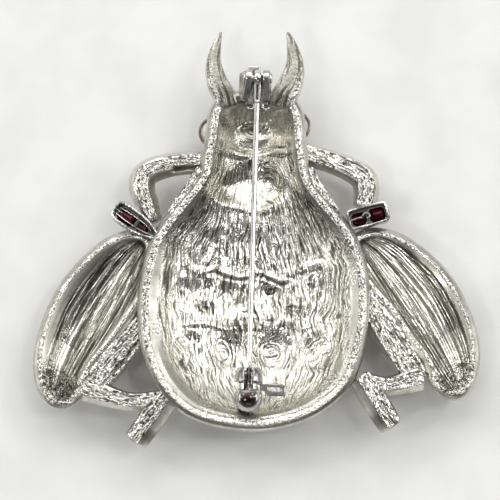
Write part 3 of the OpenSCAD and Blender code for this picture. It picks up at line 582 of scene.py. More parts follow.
def polished(name, colour, rough, scratch=0.3, low=0.8):
    """Plate with fine scratches. low is how much darker its clouds are."""
    mat, tree = node_material(name, Metallic=1.0)
    place = place_in(tree)
    fine, broad = speckle(tree, place, 2600.0, 3.0), speckle(tree, place, 500.0, 2.0)
    bump = add(tree, "Bump", in_Height=fine, in_Strength=scratch, in_Distance=0.00003)
    wire(tree, Base_Color=ramp(tree, broad, 0.35, [c * low for c in colour], 0.6, colour),
         Roughness=spread(tree, broad, 0.3, 0.7, rough + 0.06, rough - 0.03), Normal=bump.outputs[0])
    return mat


def glass(name, scale, detail, dark, light, rough, **inputs):
    mat, tree = node_material(name, **inputs)
    cloud = speckle(tree, place_in(tree), scale, detail)
    wire(tree, Base_Color=ramp(tree, cloud, 0.35, dark, 0.65, light), Roughness=spread(tree, cloud, 0.3, 0.7, *rough))
    return mat


BODY_METAL = cast_metal("body_metal", (3.7, 0.42, 1.0), 0.11)
WING_METAL = {-1: cast_metal("wing_metal_left", (3.3, 0.09, 1.0), 0.13, None, (0.47, 0.62)),
              1: cast_metal("wing_metal_right", (3.5, 0.08, 1.0), 0.11)}
LIMB_METAL = cast_metal("limb_metal", (2.8, 0.5, 1.0), 0.11, (5.4, 2.4, 0.5))
HORN_METAL = cast_metal("horn_metal", (2.6, 0.25, 1.0), 0.24)
CUP_METAL = polished("cup_metal", (0.62, 0.61, 0.59), 0.16, 0.6, 0.25)
RAIL_METAL = polished("rail_metal", (0.86, 0.85, 0.82), 0.14, 0.5, 0.18)
LEVER_METAL = polished("lever_metal", (0.56, 0.55, 0.53), 0.12, 0.8, 0.35)
PLATED = polished("plated_findings", (0.76, 0.75, 0.73), 0.14, 0.4, 0.6)
STEEL = polished("steel_pin", (0.74, 0.73, 0.70), 0.12, 0.3, 0.7)
BALL_METAL = polished("ball_metal", (0.58, 0.57, 0.55), 0.12, 0.15, 0.6)
RING_METAL = polished("ring_metal", (0.40, 0.39, 0.375), 0.2, 0.3, 0.5)
DARK = polished("dark_metal", (0.16, 0.155, 0.15), 0.35)
BRONZE = polished("bronze_edge", (0.32, 0.24, 0.18), 0.22, 0.3, 0.5)
HINGE_METAL = polished("hinge_metal", (0.72, 0.71, 0.69), 0.2, 0.6, 0.3)
RED = glass("red_glass", 900.0, 2.0, (0.012, 0.0005, 0.002), (0.085, 0.004, 0.012), (0.04, 0.12), IOR=1.6,
            Coat_Weight=0.6, Coat_Roughness=0.03)
EYE = glass("eye_glass", 700.0, 3.0, (0.84, 0.80, 0.76), (0.95, 0.93, 0.90), (0.08, 0.16), IOR=1.5,
            Transmission_Weight=0.3)

# ---- body
body_loop = refine(out_and_back(*(BODY[:, [k, 0]] * [w * HALF_W, BODY_L] for k, w in ((1, -1), (2, 1)))), 4)
body_mid = np.stack([np.zeros(len(body_loop)), blunt(body_loop[:, 1], BODY_L, 0.22 * BODY_L, 0.09 * BODY_L)], 1)


def half_width(x, y):
    left, right = (np.interp(y / BODY_L, BODY[:, 0], BODY[:, k]) for k in (1, 2))
    return HALF_W * np.where(x < 0, left, right)


def eased(s, band):
    """Starts a hollow gently, so that a flatter band lies along its rim."""
    return s * (1 - 0.42 * np.exp(-(s / band) ** 4))


def rim_band(y):
    """How far the smooth band along the rim reaches, as a share."""
    return 0.075 + 0.05 * hump((np.maximum(y, 0) / 13) ** 2)


def body_hollow(p, s):
    x, y = p.T
    return body_depth(y) * (1 - (1 - eased(s, 0.15)) ** BACK_CURVE) + body_relief(x, y, s)


def body_front(p, s):
    x, y = p.T
    return DROP + (body_depth(y) + WALL - DROP) * (1 - (1 - s) ** FRONT_CURVE) + body_relief(x, y, s)


def near(x, y, cx, cy, rx, ry):
    """A soft spot: 1 at its centre and 0 outside its radii."""
    return hump(((x - cx) / rx) ** 2 + ((y - cy) / ry) ** 2)


def streak_at(x, y):
    """Across coordinate of the streaks: it fans out with the body, wanders, and turns round the dimples."""
    u = x / np.maximum(half_width(x, y), 3) * 12
    u = u + 0.16 * noise(x * 0.9, y * 0.8, 21) + 0.55 * noise(x * 0.33, y * 0.3, 22)
    for cx, cy, r_max, gap, high in TOOL_RINGS:
        r = np.hypot((x - cx) * 1.25, y - cy)
        w = (0.95 if cy > 30 else 0.45) * hump((r / r_max) ** 3)
        u = u * (1 - w) + w * (cx + r + 0.35 * noise(x * 0.9, y * 0.9, 25))
    return u


def body_grain(p, s, zone):
    x, y = p.T
    # the streaks are longer along the side walls
    long = 1 - 0.6 * unit(1 - s / 0.3) * unit((28 - y) / 6)
    return columns([streak_at(x, y), y * long, zone])


def fold_line(x):
    return np.interp(x, FOLD[:, 0], FOLD[:, 1]) + 0.15 * noise(x * 1.2, 0.5, 28)


def fold_reach(x):
    return hump((np.abs(x + 0.7) / 5.6) ** 6)


def spots(x, y):
    return unit(sum(near(x, y, *row) for row in SMOOTH_SPOTS))


def by_zone(zone, *values):
    """One value for each of the zones hollow, rim and wall, and the last for the rest."""
    return np.select([zone == k for k in range(len(values) - 1)], values[:-1], values[-1])


def in_head(y):
    """1 in the head, where the streaks are weaker."""
    return rise(y, 33.6, 1.5)


def crowned(y):
    """1 along the head's top edge."""
    return rise(y, 0.952 * BODY_L, 1.2)


def facet(p, s, cx, cy, rx, ry, lean, lift):
    """How far a patch of the hollow moves up to become a flat face that leans towards +Y."""
    level = body_hollow(np.array([[cx, cy]]), np.array([0.95]))[0] - lift
    return near(p[:, 0], p[:, 1], cx, cy, rx, ry) * (body_hollow(p, unit(s)) - level - lean * (p[:, 1] - cy))


def body_marks(p, s, zone):
    x, y = p.T
    inside = (zone == 0) * unit((s - rim_band(y)) / 0.05 + 0.25)
    streaks = inside * (1 - 0.35 * spots(x, y)) * (1 - 0.6 * in_head(y)) * (0.75 + 0.25 * noise(x * 0.4, y * 0.4, 14))
    specks = 0.1 + 0.35 * unit(noise(x * 0.7, y * 0.5, 16) + 0.2) * (s < 0.3)
    grit = by_zone(zone, specks, 0.85 - 0.35 * hump((y / 12) ** 2), 0.12, 0.3)
    # painted shade in the pits, creases and deep places of the hollow
    dark = (zone == 0) * sum(row[4] * near(x, y, *row[:4]) for row in PAINTED_SHADE_SPOTS)
    # painted shade in the pit under the fold
    dark = dark + (zone == 0) * 0.55 * fold_reach(x) * hump(((y - fold_line(x) + 0.4) / 0.4) ** 2)
    dark = dark * (0.85 + 0.4 * noise(x * 1.5, y * 1.5, 15))
    # painted shade on the smooth band inside the rim, and darker towards the tail's end
    dark = dark + (zone == 0) * (0.42 * unit(1.6 - s / rim_band(y)) + 0.12 * near(x, y, 0, 2.4, 12, 5))
    crown = crowned(y) * (zone <= 1)
    streaks = streaks + (0.2 - streaks) * crown
    grit = grit + (0.12 - grit) * crown
    # painted shade: the head's top edge is darker, and so is the middle of the outer wall under the rim
    dark = dark + 0.45 * crown + (zone == 2) * (0.12 + 0.4 * hump(((s - 0.5) / 0.4) ** 2))
    return columns([streaks, grit, np.clip(dark, 0, 0.8)])


def body_carve(p, s, zone):
    x, y = p.T
    inside = (zone == 0) * unit((s - rim_band(y)) / 0.06 + 0.3) * np.minimum(1, s / 0.03)
    # long striations that fan out with the body, bent a little
    bent, line, reach = streak_at(x, y), fold_line(x), fold_reach(x)
    strong = 0.65 + 0.5 * noise(x * 0.5, y * 0.4, 23)
    strong *= (1 - 0.75 * in_head(y)) * (1 - 0.7 * reach * hump(((y - line + 0.1) / 0.8) ** 2))
    strong = (1 - 0.6 * spots(x, y)) * strong
    up = inside * strong * (0.1 * noise(bent * 4.1, y * 0.34, 11) + 0.03 * noise(bent * 1.5, y * 0.14, 12))
    up += inside * 0.065 * clouds(x * 0.55, y * 0.55, 24)
    # tool rings in the head, and rings in the lower dimples
    plain = inside * (1 - 0.85 * near(x, y, -0.3, 37.6, 3.4, 1.6))
    for cx, cy, r_max, gap, high in TOOL_RINGS:
        r = np.hypot((x - cx) * 1.25, y - cy)
        rings = np.cos(2 * pi * (r + 0.5 * noise(x * 0.9, y * 0.9, 25)) / gap)
        up += plain * high * rings * hump((r / r_max) ** 4)
    # squiggles of the upper pads
    pads = hump(((y - PAD_ROW_Y) / 3.4) ** 4) * hump((np.abs(x) / 10.5) ** 6)
    up += inside * pads * 0.11 * noise(x * 3.1 + 1.1 * noise(x * 0.9, y * 0.8, 26), y * 0.9, 27)
    # the bright lower side of the head's dimple, and the chest's pad
    up += inside * (facet(p, s, -0.3, 37.5, 3.1, 1.9, 0.24, 1.0) + facet(p, s, -0.7, 30.3, 5.3, 2.7, 0.30, 0))
    # thin lines along the side walls
    wall = unit(1 - np.abs(s - rim_band(y) - 0.1) / 0.1) * unit((27 - y) / 5) * rise(y, 4, 5)
    turn = s * half_width(x, y) / 0.52 + 0.6 * noise(s * 9, y * 0.1, 29)
    up += inside * wall * 0.055 * np.maximum(0, np.cos(2 * pi * turn)) ** 2
    # fold across the middle, and the pit under it
    up += inside * reach * (0.2 * hump(((y - line) / 0.34) ** 2) - 0.2 * hump(((y - line + 0.42) / 0.36) ** 2))
    for cx, cy, rx, ry, deep in PITS:
        up -= inside * deep * near(x, y, cx, cy, rx, ry)
    # the head's top edge is low and soft
    up -= crowned(y) * 0.5 * by_zone(zone, unit(1 - s / 0.12), (1 - s) ** 2, 0)
    # the rim at the tail leans inwards
    up -= 0.2 * hump((y / 15) ** 2) * by_zone(zone, unit(1 - s / 0.05), 1 - s, 0)
    # rough rim and front
    up += (zone == 1) * 0.07 * clouds(x * 2.4, y * 2.4, 31)
    up += (zone == 3) * (0.02 * clouds(x * 1.2, y * 1.2, 34) - 0.29 * near(x, y, 0, 15.5, 10, 11))
    return up


shell("body", BODY_METAL, body_loop, body_mid, np.linspace(0, 1, 142)[1:], np.linspace(0.02, 1, 34), RIM_W * 0.8, DROP,
      lambda p: rim_z(p[:, 1]), body_hollow, body_front, body_carve, body_grain, body_marks)

# ---- wings
TUCK = np.interp(WING[:, 0], [0.2, 0.35, 0.6, 0.75, 0.84], [0, 0.06, 0.12, 0.1, 0])
WING[:, 2:] -= TUCK[:, None]
THIN = DROP * WING_THIN
for side, word in SIDES:
    left, long, wide = side < 0, WING_L[side], WING_W[side]

    def edge(column):
        return wing_out(side, np.stack([WING[:, column] * wide, WING[:, 0] * long], 1))

    def mid(y):
        return wide * np.interp(y / long, WING_MID[:, 0], WING_MID[:, 1])

    def depth(p):
        return WING_D * np.interp(wing_in(side, p)[:, 1] / long, WING_DEPTH[:, 0], WING_DEPTH[:, 1])

    def fanned(x, y):
        return x / np.maximum(np.interp(y / long, WING[:, 0], WING[:, 1]), 0.4)

    def ribs(x, y):
        """The tool lines of a wing, from -1 to 1."""
        bent = fanned(x, y) + 0.25 * noise(x * 0.5, y * 0.3, 43)
        if left:
            line = np.cos(2 * pi * (bent / 1.05 + 0.9 * noise(bent * 0.9, y * 0.07, 44)))
            return 2 * np.maximum(0, line) ** 3 * (0.6 + 0.5 * noise(bent * 1.1, y * 0.25, 46)) - 1
        return np.cos(2 * pi * (bent / 0.45 + 0.6 * noise(bent * 0.9, y * 0.09, 44)))

    def clear(x, y, s):
        """0 in the smooth band along the rim, 1 beyond it."""
        return rise(s, 0.06 + (0.16 if left else 0.03) * unit(x - mid(y)), 0.1)

    def grain(p, s, zone):
        x, y = wing_in(side, p).T
        return columns([fanned(x, y), y, zone])

    def marks(p, s, zone):
        x, y = wing_in(side, p).T
        streaks = (zone == 0) * clear(x, y, s)
        tip = (zone <= 1) * rise(y / long, 0.8, 0.08)
        grit = by_zone(zone, 0.08, 0.8, 0.12, 0.3) + 0.6 * tip * (zone == 0)
        # painted shade: the left wing's hollow is painted darker than the right's; both are darker between their tool
        # lines
        dull = (0.24 if left else 0.42) + 0.15 * noise(x * 0.5, y * 0.15, 50)
        dull = dull - (0.4 if left else 0.28) * clear(x, y, s) * ribs(x, y)
        # painted shade on the middle of the outer wall under the rim
        dark = (zone == 2) * (0.14 + 0.4 * hump(((s - 0.4) / 0.35) ** 2)) + (zone == 0) * dull
        dark = dark + tip * ((0.2 if left else 0.05) + 0.35 * clouds(x * 1.4, y * 1.4, 51))
        return columns([streaks, grit, np.clip(dark, 0, 0.8)])

    def carve(p, s, zone):
        x, y = wing_in(side, p).T
        inside = (zone == 0) * clear(x, y, s) * unit((0.86 - y / long) / 0.08)
        bent = fanned(x, y)
        lines = (0.035 if left else 0.06) * ribs(x, y) + 0.04 * noise(bent * 3.0, y * 0.1, 41)
        lines = lines + 0.03 * noise(bent * 1.5, y * 0.06, 42)
        up = inside * lines + inside * 0.08 * clouds(x * 0.4, y * 0.25, 45)
        knob = 0.4 * clouds(x * 1.5, y * 1.5, 47) + 0.12 * noise(x * 3.2, y * 1.6, 48)
        up += (zone <= 1) * rise(y / long, 0.82, 0.06) * knob
        return up + (zone == 1) * 0.05 * clouds(p[:, 0] * 2.6, p[:, 1] * 2.6, 49)

    loop = refine(out_and_back(edge(2), edge(1)) if left else out_and_back(edge(1), edge(3)), 4)
    y_in = blunt(wing_in(side, loop)[:, 1], long, 0.1 * long, 0.1 * long)
    shell("wing_" + word, WING_METAL[side], loop, wing_out(side, np.stack([mid(y_in), y_in], 1)),
          np.linspace(0, 1, 60)[1:], np.linspace(0.03, 1, 20), WING_RIM_W * 0.7, THIN, lambda p: wing_top(side, p),
          lambda p, s: depth(p) * (1 - (1 - eased(s, 0.2)) ** 2.4) * 0.9,
          lambda p, s: THIN + (depth(p) + WALL - THIN) * (1 - (1 - s) ** FRONT_CURVE), carve, grain, marks)


# ---- legs and horns
def rough_back(seed, size=0.1):
    def carve(along, across, face):
        return face * size * clouds(across * 3.0, along * 1.3, seed)
    return carve


def ribbed(seed, size=0.05):
    def carve(along, across, face):
        return face * size * (noise(across * 2.6, along * 0.3, seed) + 0.4 * noise(across * 5, along, seed + 1))
    return carve


def grooved(seed, place, width, start, end, deep, dark):
    """A rough back with a groove along it, which is painted dark as shadow."""
    def cut(along, across):
        line = place + 0.1 * noise(along * 1.1, seed * 1.3, seed + 5)
        return hump(((across - line) / width) ** 2) * rise(along, start, 0.6) * unit((end - along) / 0.6)

    def carve(along, across, face):
        return rough_back(seed)(along, across, face) - deep * cut(along, across)

    def marks(along, across, face):
        tint = limb_marks(along, across, face)
        # painted shadow in the groove
        tint[:, 2] = dark * cut(along, across)
        return tint
    return {"carve": carve, "marks": marks}


def foot_marks(along, across, face):
    tint = limb_marks(along, across, face)
    # painted shade on the foot's sides, darkest near its tip
    tint[:, 2] = (1 - face) * (0.15 + 0.6 * hump(((along - 5.9) / 1.2) ** 2))
    return tint


def horn_marks(along, across, face):
    edge = unit(across / 1.2) ** 2
    return columns([face * 0.45, 0.12 + 0.75 * face * edge, 0.7 * face * (1 - 0.6 * edge)])


leg_ends = {}
shin_h = 0.75 * LEG_H
for side, word in SIDES:
    rows, root = LEG[side], on_side(side, LEG_ROOT[side])
    out = np.maximum(0, rows[:, 0]) * LEG_REACH
    path = np.stack([root[0] + side * rows[:, 0] * LEG_REACH, root[1] - rows[:, 1] * LEG_BACK,
                     rim_z(root[1]) - LEG_LOW - LEG_H / 2 - LEG_FALL * out], 1)
    leg_ends[side] = path[-1]
    depths = np.where(rows[:, 0] < 0, LEG_H * 0.6, LEG_H)
    if side < 0:
        bar("leg_left", path, rows[:, 2] * LEG_W * 1.14, depths, 0.42, ends=(0.2, 0.6), lean=0.12,
            **grooved(61, -0.72, 0.42, 0.8, 5.2, 0.5, 0.85))
    else:
        bar("leg_right", path, rows[:, 2] * LEG_W * 1.1, depths, 0.58, ribbed(63, 0.07), ends=(0.2, 0.6))
    pts = []
    for share, off in STRIP:
        x, y = on_side(side, share)
        pts.append([x + side * off * HALF_W, y, rim_z(y) - LEG_LOW / 2 - shin_h / 2])
    bar("strip_" + word, pts, 0.45 * LEG_W * np.array([1, 1.1, 1.2, 1.1]), [shin_h] * 4, 0.7, rough_back(64 + side))
    along, out, width, lift = HORN.T
    pts = np.stack([side * out * HORN_OUT, BODY_L - 0.5 + along * HORN_L,
                    rim_z(BODY_L) - LEG_LOW - HORN_H / 2 + lift], 1)
    bar("horn_" + word, pts, width * HORN_W[side], HORN_H * (0.35 + 0.65 * np.minimum(1, width)), 0.8,
        ribbed(70 + side), ends=(0.4, 0.5), material=HORN_METAL,
        marks=lambda along, across, face: horn_marks(along, across * side, face))

for row in HIND:
    side, word = row[0], "left" if row[0] < 0 else "right"

    def at(column, low):
        x, y = side * row[column] * HALF_W, row[column + 1] * BODY_L
        return np.array([x, y, rim_z(y) - low])

    hip, knee = at(1, LEG_LOW + LEG_H * 0.4), at(3, WING_LOW + LEG_H / 2)
    beyond = knee + (knee - hip) / np.linalg.norm(knee - hip) * 0.9
    look = grooved(81, -1.05, 0.4, 0.8, 7.5, 0.35, 0.8) if side < 0 else {"carve": rough_back(83)}
    bar("thigh_" + word, [hip, (hip + knee) / 2 - [0, 0, LEG_H * 0.1], knee, beyond],
        THIGH_W * np.array([0.85, 1.1, 1.02, 0.95]), LEG_H * np.array([0.55, 1, 0.9, 0.85]), 0.8,
        ends=(0.2, 0.8), **look)
    knee, ankle = at(3, WING_LOW + shin_h / 2), at(5, LEG_LOW + shin_h / 2)
    shin = [knee + [side, 0.3 if side < 0 else -0.2, 0], (knee + ankle) / 2 - [0, THIGH_W * 0.3, 0], ankle]
    bar("shin_" + word, shin, SHIN_W * np.array([1.5, 1.05, 1.05]), [shin_h] * 3, 0.6, rough_back(84 + side),
        ends=(0.8, 0.3), lean=0.15 * side)
    a = radians(row[7])
    way = np.array([side * sin(a), -cos(a), -0.05]) * FOOT_L
    bar("foot_" + word, [ankle - way * 0.06, ankle + way * 0.45, ankle + way], FOOT_W * np.array([1, 1.1, 1]),
        shin_h * np.array([1, 1.05, 0.9]), 0.5, rough_back(88 + side, 0.13), ends=(0.3, 0.55), lean=-0.42 * side,
        marks=foot_marks)

# ---- eyes
for side, word in SIDES:
    x, y = EYES[side][0] * HALF_W, EYES[side][1] * BODY_L
    centre = np.array([x, y, rim_z(y) - EYE_LOW])

    def turned_up(p):
        """Turns a lathe's own axis up."""
        return p[:, [1, 2, 0]] + centre

    t = np.radians(np.linspace(-90, 90, 41))
    eye = lathe("eye_dome_" + word, columns([EYE_R * np.sin(t), np.maximum(EYE_R * np.cos(t), 1e-4)]),
                turned_up, 72)
    add_piece(eye, EYE, replaces=["eye_" + word])
    r0, r1, h = EYE_R + EYE_GAP, EYE_R + EYE_GAP + BEZEL_T, BEZEL_H / 2
    ring = [[-h, r0], [-h, r1 - 0.06], [-h + 0.06, r1], [h - 0.08, r1], [h - 0.02, r1 - 0.05], [h, r1 - 0.12], [h, r0],
            [-h, r0]]
    add_piece(lathe("eye_bezel_" + word, ring, turned_up, 72), BRONZE)

# ---- front feet and their stones
CORNER = 0.3


def eight(l, w, cut):
    """A rectangle with its corners cut off."""
    return np.array([[l / 2, w / 2 - cut], [l / 2 - cut, w / 2], [cut - l / 2, w / 2], [-l / 2, w / 2 - cut],
                     [-l / 2, cut - w / 2], [cut - l / 2, -w / 2], [l / 2 - cut, -w / 2], [l / 2, cut - w / 2]])


def stone_size(side, l, w):
    return l * SEAT_L[side], w * (SEAT_W - 2 * (RAIL + STONE_GAP))


def seat_place(side):
    out, up, angle = SEATS[side]
    q = leg_ends[side][:2] + np.array([side * out, up]) * SEAT_W
    a = radians(angle)
    turn = np.array([[cos(a), -sin(a)], [sin(a), cos(a)]])
    base = rim_z(q[1]) - SEAT_LOW - SEAT_H

    def place(p):
        return columns([p[:, :2] @ turn.T + q, p[:, 2] + base])
    return place


for side, word in SIDES:
    half, place = np.array([SEAT_L[side], SEAT_W]) / 2, seat_place(side)
    line = SEAT[side] * half
    outline, length = evenly(joined([line, line[::-1] * [1, -1]]), 120)
    for _ in range(2):
        outline = outline * 0.5 + (np.roll(outline, 1, 0) + np.roll(outline, -1, 0)) * 0.25
    holes = []
    for _, at_side, at_x, l, w in STONES:
        if at_side == side:
            l, w = stone_size(side, l, w)
            holes.append(eight(l + 2 * STONE_GAP, w + 2 * STONE_GAP, CORNER) + [at_x * half[0], 0])
    add_piece(prism("setting_" + word, outline, [grown(outline, -0.26)], 0, SEAT_H * 0.94, place), CUP_METAL)
    # the bed under the stones is dark
    add_piece(prism("setting_bed_" + word, grown(outline, -0.2), holes, 0, SEAT_H * 0.56, place), DARK)
    rail = grown(outline, -0.14)
    beads = np.arange(len(rail)) / len(rail) * length / 0.5
    size = 0.15 + 0.05 * np.abs(np.sin(pi * beads)) + 0.03 * noise(beads * 0.7, 3, 91)
    rail = place(columns([rail, np.full(len(rail), SEAT_H * 0.95)]))
    add_piece(tube("setting_rail_" + word, rail, size, closed=True), RAIL_METAL)
    for k, (high, radius, points) in enumerate(CUP_WIRES[side]):
        bent, _ = evenly(smooth_path(np.array(points) * half, 2), 24, False)
        bent = place(columns([bent, np.full(24, SEAT_H * high)]))
        add_piece(tube("setting_wire_%s_%d" % (word, k), bent, radius), CUP_METAL)
for name, side, at_x, l, w in STONES:
    l, w = stone_size(side, l, w)
    levels = [(0, eight(l * 0.7, w * 0.6, CORNER * 0.7)), (STONE_H * 0.25, eight(l, w, CORNER)),
              (STONE_H * 0.35, eight(l, w, CORNER)), (STONE_H * 0.75, eight(l * 0.72, w * 0.5, CORNER * 0.6)),
              (STONE_H, eight(l * 0.5, w * 0.12, CORNER * 0.12))]
    pts = joined([columns([q + [at_x * SEAT_L[side] / 2, 0], np.full(8, z + (SEAT_H - STONE_H) / 2)])
                  for z, q in levels])
    faces = [list(range(8))[::-1]]
    faces += [[k + i, k + (i + 1) % 8, k + 8 + (i + 1) % 8, k + 8 + i] for k in (0, 8, 16, 24) for i in range(8)]
    faces += [list(range(32, 40))]
    gem = mesh_object("gem_" + name[6:], seat_place(side)(pts), faces, smooth=False)
    bevel(gem, 0.02, 1)
    add_piece(gem, RED, replaces=[name])

# ---- hinge, pin and catch
RIVET = np.array([0.03 * HALF_W, BODY_L + RIVET_OUT, rim_z(BODY_L) + RIVET_H])
TURN = np.array([[cos(PIN_LEAN), sin(PIN_LEAN)], [-sin(PIN_LEAN), cos(PIN_LEAN)]])
MOUTH_AT = (RIVET[1] - CATCH_IN) / cos(PIN_LEAN)
PIN_L = MOUTH_AT + PIN_IN
MOUTH_END = MOUTH_AT + MOUTH_L
REAR_AT = MOUTH_END + GROOVE_W
EARS_W = 2 * EAR_T + EAR_SLOT
BORE_R = RIVET_R + RIVET_GAP


def at_rivet(p):
    p = np.asarray(p, float)
    return columns([p[:, :2] @ TURN.T, p[:, 2]]) + RIVET


def along_pin(p):
    """x along the pin from the rivet, y across it, z up."""
    p = np.asarray(p, float)
    return at_rivet(columns([-p[:, 1], -p[:, 0], p[:, 2]]))


def block(name, low, high, width, material):
    """A box with rounded edges, from the rivet."""
    points = [[x, y, z] for z in (low[2], high[2]) for y in (low[1], high[1]) for x in (low[0], high[0])]
    faces = [[0, 2, 3, 1], [4, 5, 7, 6], [0, 1, 5, 4], [1, 3, 7, 5], [3, 2, 6, 7], [2, 0, 4, 6]]
    box = mesh_object(name, at_rivet(points), faces, smooth=False)
    bevel(box, width)
    add_piece(box, material)


def round_line(cx, cy, r, a0, a1, n):
    t = np.radians(np.linspace(a0, a1, n))
    return columns([cx + r * np.cos(t), cy + r * np.sin(t)])


ear_line = joined([[[-2.7, -RIVET_H - 0.3], [EAR_R, -RIVET_H - 0.3]], round_line(0, 0, EAR_R, 0, 120, 14),
                   [[-2.7, -RIVET_H + 0.6]]])
bore = round_line(0, 0, BORE_R, 0, 360, 33)[:-1]
for word, x0, splay in (("left", -EARS_W / 2, -0.52), ("right", EAR_SLOT / 2, 0.16)):
    def stand(p):
        low = np.maximum(0, -p[:, 1] - 0.5)
        return at_rivet(columns([p[:, 2] + x0 + splay * low, p[:, 0], p[:, 1]]))
    ear = prism("hinge_ear_" + word, ear_line, [bore], 0, EAR_T, stand)
    bevel(ear, 0.16)
    add_piece(ear, HINGE_METAL)
plate_y, hook_r = -3.3, 0.42
block("hinge_plate", (-EARS_W / 2, plate_y, -RIVET_H - 0.9), (EARS_W / 2, EAR_R, -RIVET_H), 0.2, CUP_METAL)
block("hinge_tab", (-1.2, EAR_R - 0.1, -RIVET_H - 0.9), (0.3, EAR_R + 0.6, -RIVET_H * 0.25), 0.14, HINGE_METAL)
for word, x, turn in (("left", -0.75, 1), ("right", 1.15, -1)):
    t = np.radians(np.linspace(200, 400, 18))
    hook = columns([x + turn * hook_r * np.cos(t), plate_y + hook_r * np.sin(t), np.full(18, -RIVET_H + 0.05)])
    add_piece(tube("hinge_hook_" + word, at_rivet(hook), 0.17), PLATED)

reach = EARS_W / 2 + RIVET_GAP
head = [(0.32, 0.001), (0.32, 0.45), (0.22, 0.62), (0.1, 0.68), (0, 0.68), (0, RIVET_R)]
rivet_line = [[-reach - out, r] for out, r in head] + [[reach + out, r] for out, r in head[::-1]]
add_piece(lathe("rivet", rivet_line, at_rivet, 48), STEEL, replaces=["hinge_rivet"])

# the pin: its eye, its fork, the wire and its point
eye_r, eye_w, neck, fork, flat, point = 0.9, 0.85, 3.3, 0.28, 0.42, 3
ring = [[-eye_w / 2, BORE_R], [-eye_w / 2, eye_r - 0.1], [-eye_w / 2 + 0.1, eye_r], [eye_w / 2 - 0.1, eye_r],
        [eye_w / 2, eye_r - 0.1], [eye_w / 2, BORE_R], [-eye_w / 2, BORE_R]]
pin_eye = lathe("pin_eye", ring, at_rivet, 48)
outline = np.array([[0.6, -flat], [neck - 0.7, -flat], [neck, -0.3], [neck, 0.3], [neck - 0.7, flat], [0.6, flat]])
slot = np.array([[0.95, -fork / 2], [neck - fork - 0.1, -fork / 2], [neck - fork, 0], [neck - fork - 0.1, fork / 2],
                 [0.95, fork / 2]])
pin_fork = prism("pin_fork", outline, [slot], -flat, flat, along_pin)
bevel(pin_fork, 0.12)
pin_line = [[neck - 0.6, 0.001], [neck - 0.6, 0.3], [neck, WIRE_R]]
pin_line += [[x, WIRE_R] for x in np.linspace(neck + 0.5, PIN_L - point, 30)]
pin_line += [[PIN_L - point + point * f, WIRE_R + (0.1 - WIRE_R) * f] for f in (0.33, 0.66, 0.97)]
pin_line += [[PIN_L, 0.03], [PIN_L, 0.001]]
for piece in (pin_eye, pin_fork, lathe("pin_wire", pin_line, along_pin, 32)):
    add_piece(piece, STEEL, body="pin", replaces=["pin_stem"])


# the catch: slotted ring, ball and foot
def slotted(name, profile, slot):
    """A turned piece with a slot open upwards. profile is a closed loop of along, radius rows."""
    count, rings = 72, []
    p, _ = evenly(profile, count)
    for k in range(count):
        half = np.arcsin(unit(slot / 2 / p[:, 1]))
        t = half + (2 * pi - 2 * half) * k / (count - 1)
        rings.append(columns([p[:, 0], -p[:, 1] * np.sin(t), p[:, 1] * np.cos(t)]))
    return mesh_object(name, along_pin(joined(rings)), capped(count, count))


q = np.linspace(0, 1, 12)
dome = columns([MOUTH_AT + MOUTH_L * (1 - np.cos(q * pi / 2)) * 0.92,
                MOUTH_BORE + 0.12 + (MOUTH_R - MOUTH_BORE - 0.12) * np.sin(q * pi / 2)])
ring = joined([[[MOUTH_AT, MOUTH_BORE]], dome, [[MOUTH_END - 0.04, MOUTH_R - 0.02],
                                                [MOUTH_END, MOUTH_R - 0.12], [MOUTH_END, MOUTH_BORE]]])
add_piece(slotted("catch_ring", ring, SLOT_W), RING_METAL)
ball_at = REAR_AT + BALL_R * 0.5
# painted reflection: its top is painted dark, standing in for a dark reflection from overhead
tree = BALL_METAL.node_tree
ball_top = (along_pin([[ball_at, 0, 0]])[0] + HOME + np.array([0, -0.1, 1.0]) * BALL_R) * MM
far = add(tree, "VectorMath", operation="DISTANCE", in_0=place_in(tree), in_1=list(ball_top)).outputs["Value"]
painted_reflection = spread(tree, far, 0.45 * BALL_R * MM, 0.72 * BALL_R * MM, 1.0, 0.0, "SMOOTHSTEP")
wire(tree, Base_Color=mixed(tree, painted_reflection, shader(tree)["Base Color"].links[0].from_socket, (0.09, 0.066, 0.064)))
t = np.linspace(acos(-0.5), 0, 28)
profile = [[REAR_AT + 0.001, 0.001]] + [[REAR_AT + BALL_R * (0.5 + cos(a)), BALL_R * sin(a)] for a in t[:-1]]
profile.append([ball_at + BALL_R, 0.001])
add_piece(lathe("catch_ball", profile, along_pin, 56), BALL_METAL)
foot_end = ball_at + BALL_R * 0.6
block("catch_bridge", (-0.9, -foot_end, -2.2), (0.9, -MOUTH_AT, -1.5), 0.15, PLATED)
block("catch_post", (-1.35, -foot_end, -3.13185 - RIVET[2]), (0.45, -foot_end + 1.6, -1.5), 0.2, PLATED)


# the collar with its lever
def slit(name, radius, start, long, round_by):
    """A disc of the collar, with its slot open upwards."""
    a, b = (asin(min(1, SLOT_W * 0.98 / 2 / r)) for r in (radius, SLOT_W / 2))
    o = np.linspace(pi / 2 + a, pi * 2.5 - a, 48)
    i = np.linspace(pi * 2.5 - b, pi / 2 + b, 48)
    line = joined([columns([radius * np.cos(o), radius * np.sin(o)]),
                   columns([SLOT_W / 2 * np.cos(i), SLOT_W / 2 * np.sin(i)])])
    disc = prism(name, line, [], 0, long, lambda p: along_pin(columns([start + p[:, 2], p[:, 0], p[:, 1]])))
    bevel(disc, round_by, 2)
    return disc


